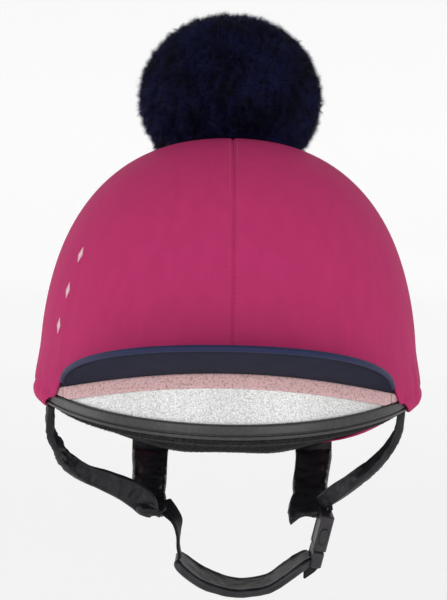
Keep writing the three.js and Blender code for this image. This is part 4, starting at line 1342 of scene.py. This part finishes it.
class CAP_OT_chin_strap(bpy.types.Operator):
    """Makes the chin webbing, the padded chin piece and the strap's free end"""

    bl_idname = "cap.chin_strap"
    bl_label = "Chin strap"

    def execute(self, context):
        sizes = context.scene.cap_sizes
        colours = context.scene.cap_colours
        webbing = webbing_finish(colours)
        for name, rows, node in (("web_left", CHIN_WEB_LEFT, "chin_web_left"),
                                 ("web_right", CHIN_WEB_RIGHT, "chin_web_right"),
                                 ("strap_end", STRAP_TAIL, "strap_tail")):
            bm = strap(name, rows, CHIN_WEB_WIDTH, 0.7 * CHIN_WEB_THICKNESS, 0.1, squareness=5,
                       ends=2)
            settle(f"chin_{name}", bm, webbing, "black_webbing", node)
        leather = leather_finish("chin_leather", colours.chin, 0.4, 0.32)
        bm = strap("pad", CHIN_PAD, CHIN_PAD_WIDTH, CHIN_PAD_THICKNESS, 0.35,
                   0.35 * sizes.crease_depth, 10 * MM, ends=7)
        pad = settle("chin_cushion", bm, leather, "chin_leather", "chin_pad")
        return {"FINISHED"}


def moulded(name, node, finish):
    """Copy of a node of the frame with its edges rounded"""
    bm = bmesh.new()
    bm.from_mesh(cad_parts[node].data)
    bmesh.ops.remove_doubles(bm, verts=bm.verts, dist=0.005 * MM)
    bmesh.ops.dissolve_limit(bm, angle_limit=3 * DEGREE, verts=bm.verts, edges=bm.edges)
    for vert in bm.verts:
        fall = (vert.co.z - BUCKLE_TOP[1]) / (BUCKLE_FOOT[1] - BUCKLE_TOP[1])
        axis = lerp(BUCKLE_TOP[0], BUCKLE_FOOT[0], fall)
        shift = lerp(BUCKLE_SHIFTS[0], BUCKLE_SHIFTS[1], fall)
        vert.co.x = axis - shift + (vert.co.x - axis) * BUCKLE_SLIMMING
    panels = [face for face in bm.faces
              if abs(face.normal.x) > 0.9 and face.calc_area() > PANEL_AREA]
    for panel in panels:
        bmesh.ops.inset_individual(bm, faces=[panel], thickness=PANEL_MARGIN, depth=0)
        bmesh.ops.inset_individual(bm, faces=[panel], thickness=PANEL_DEPTH,
                                   depth=-PANEL_DEPTH)
    piece = settle(name, bm, finish, "buckle_plastic", node)
    rounding = piece.modifiers.new("Rounded edges", "BEVEL")
    rounding.width = MOULDED_EDGE
    rounding.segments = 3
    rounding.limit_method = "ANGLE"
    rounding.angle_limit = 28 * DEGREE


class CAP_OT_buckle(bpy.types.Operator):
    """Makes the side release buckle, fastened"""

    bl_idname = "cap.buckle"
    bl_label = "Buckle"

    def execute(self, context):
        finish = plastic_finish(context.scene.cap_colours)
        for node in ("buckle_socket", "buckle_plug", "buckle_tab_front", "buckle_tab_back"):
            moulded(node.replace("buckle", "moulded"), node, finish)
        return {"FINISHED"}


class CAP_OT_motif(bpy.types.Operator):
    """Stitches three small diamonds on the left of the crown, and the seam's topstitching"""

    bl_idname = "cap.motif"
    bl_label = "Stitching"

    def execute(self, context):
        places = []
        for turn, height in DIAMONDS:
            centre = dome_point(turn * DEGREE, height, 0.1 * MM)
            normal = dome_normal(centre)
            across = UP.cross(normal).normalized()
            rise = normal.cross(across)
            shortest, *thickness = DIAMOND_THREAD
            for row in range(DIAMOND_THREADS):
                level = 2 * (row + 0.5) / DIAMOND_THREADS - 1
                long = max(2 * DIAMOND_HALF_WIDTH * (1 - abs(level)), shortest)
                middle = centre + rise * level * DIAMOND_HALF_HEIGHT
                places.append(aimed(middle, across, normal, (long, *thickness)))
        colours = context.scene.cap_colours
        settle("stitched_diamonds", copies(thread_shape(), places),
               thread_finish("motif_thread", colours.thread), "pink_band")

        places = []
        for sign in (-1, 1):
            line = []
            for step in range(60):
                height = lerp(*TOPSTITCH_HEIGHTS, math.sin(QUARTER * step / 59))
                line.append(dome_point(SEAM_TWIST, height, 0))
            for middle in evenly(line, TOPSTITCH_COUNT)[:-TOPSTITCH_LEFT_OUT]:
                spot = middle + Vector((sign * TOPSTITCH_OFFSET, 0, 0))
                normal = dome_normal(spot)
                ahead = Vector((1, 0, 0)).cross(normal)
                places.append(aimed(spot - normal * 0.05 * MM, ahead, normal,
                                    TOPSTITCH_THREAD))
        settle("seam_stitches", copies(thread_shape(), places),
               thread_finish("silk_thread", colours.silk), "raspberry_silk")
        return {"FINISHED"}


def soft_light(name, place, target, size, power):
    """Large square lamp that faces a target"""
    data = bpy.data.lights.new(name, "AREA")
    data.size = size
    data.energy = power
    lamp = bpy.data.objects.new(name, data)
    lamp.location = place
    lamp.rotation_euler = (Vector(target) - Vector(place)).to_track_quat("-Z", "Y").to_euler()
    bpy.context.scene.collection.objects.link(lamp)


class CAP_OT_stage(bpy.types.Operator):
    """Sets the pale floor, the soft lights and the camera"""

    bl_idname = "cap.stage"
    bl_label = "Stage"

    def execute(self, context):
        scene = context.scene
        camera = bpy.data.objects.new("camera", bpy.data.cameras.new("camera"))
        camera.location = CAMERA_PLACE
        tilt = Matrix.Rotation(QUARTER + CAMERA_PITCH, 4, "X")
        camera.rotation_euler = (tilt @ Matrix.Rotation(CAMERA_ROLL, 4, "Z")).to_euler()
        camera.data.lens = CAMERA_LENS
        camera.data.shift_x = CAMERA_SHIFT
        camera.data.clip_start = 0.01
        scene.collection.objects.link(camera)
        scene.camera = camera

        def place(across, up):
            reach = between([(share, reach) for share, reach, _ in FLOOR_OUTLINE], up)
            height = between([(share, height) for share, _, height in FLOOR_OUTLINE], up)
            turn = 2 * math.pi * across
            return Vector((reach * math.sin(turn), reach * math.cos(turn),
                           height - FLOOR_DEPTH))

        bm = bent_grid(64, 40, place)
        bmesh.ops.remove_doubles(bm, verts=bm.verts, dist=MM)
        mesh = bpy.data.meshes.new("floor")
        bm.to_mesh(mesh)
        bm.free()
        mesh.shade_smooth()
        pale = Finish("pale_floor", (0.5, 0.5, 0.5), 0.9, Specular_IOR_Level=0.05,
                      Emission_Color=(1, 1, 1, 1), Emission_Strength=FLOOR_GLOW)
        mesh.materials.append(pale.material)
        floor = bpy.data.objects.new("floor", mesh)
        scene.collection.objects.link(floor)

        world = bpy.data.worlds.new("studio")
        world.use_nodes = True
        sky = world.node_tree.nodes["Background"]
        sky.inputs["Color"].default_value = (1, 1, 1, 1)
        sky.inputs["Strength"].default_value = WORLD_STRENGTH
        scene.world = world
        for lamp in LAMPS:
            soft_light(*lamp)
        scene.view_settings.view_transform = "Standard"
        return {"FINISHED"}


STEPS = (
    CAP_OT_stage, CAP_OT_silk, CAP_OT_shell, CAP_OT_rim_trim, CAP_OT_lining, CAP_OT_hem_band,
    CAP_OT_peak, CAP_OT_pompom, CAP_OT_straps, CAP_OT_chin_strap, CAP_OT_buckle, CAP_OT_motif,
)


class CAP_PT_panel(bpy.types.Panel):
    """Lists the cap's sizes, colours and pieces"""

    bl_label = "Jockey Cap"
    bl_idname = "CAP_PT_panel"
    bl_space_type = "VIEW_3D"
    bl_region_type = "UI"
    bl_category = "Jockey Cap"

    def draw(self, context):
        for group in (context.scene.cap_sizes, context.scene.cap_colours):
            box = self.layout.box()
            for name in group.__annotations__:
                box.prop(group, name)
        for step in STEPS:
            self.layout.operator(step.bl_idname)


CLASSES = (CapSizes, CapColours, *STEPS, CAP_PT_panel)


def register():
    for cls in CLASSES:
        bpy.utils.register_class(cls)
    bpy.types.Scene.cap_sizes = PointerProperty(type=CapSizes)
    bpy.types.Scene.cap_colours = PointerProperty(type=CapColours)


def unregister():
    del bpy.types.Scene.cap_colours
    del bpy.types.Scene.cap_sizes
    for cls in reversed(CLASSES):
        bpy.utils.unregister_class(cls)


def main():
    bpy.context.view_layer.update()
    noise.seed_set(NOISE_SEED)
    register()
    bpy.ops.cap.stage()
    bpy.ops.cap.silk()
    bpy.ops.cap.shell()
    bpy.ops.cap.rim_trim()
    bpy.ops.cap.lining()
    bpy.ops.cap.hem_band()
    bpy.ops.cap.peak()
    bpy.ops.cap.pompom()
    bpy.ops.cap.straps()
    bpy.ops.cap.chin_strap()
    bpy.ops.cap.buckle()
    bpy.ops.cap.motif()


if __name__ == "__main__":
    main()
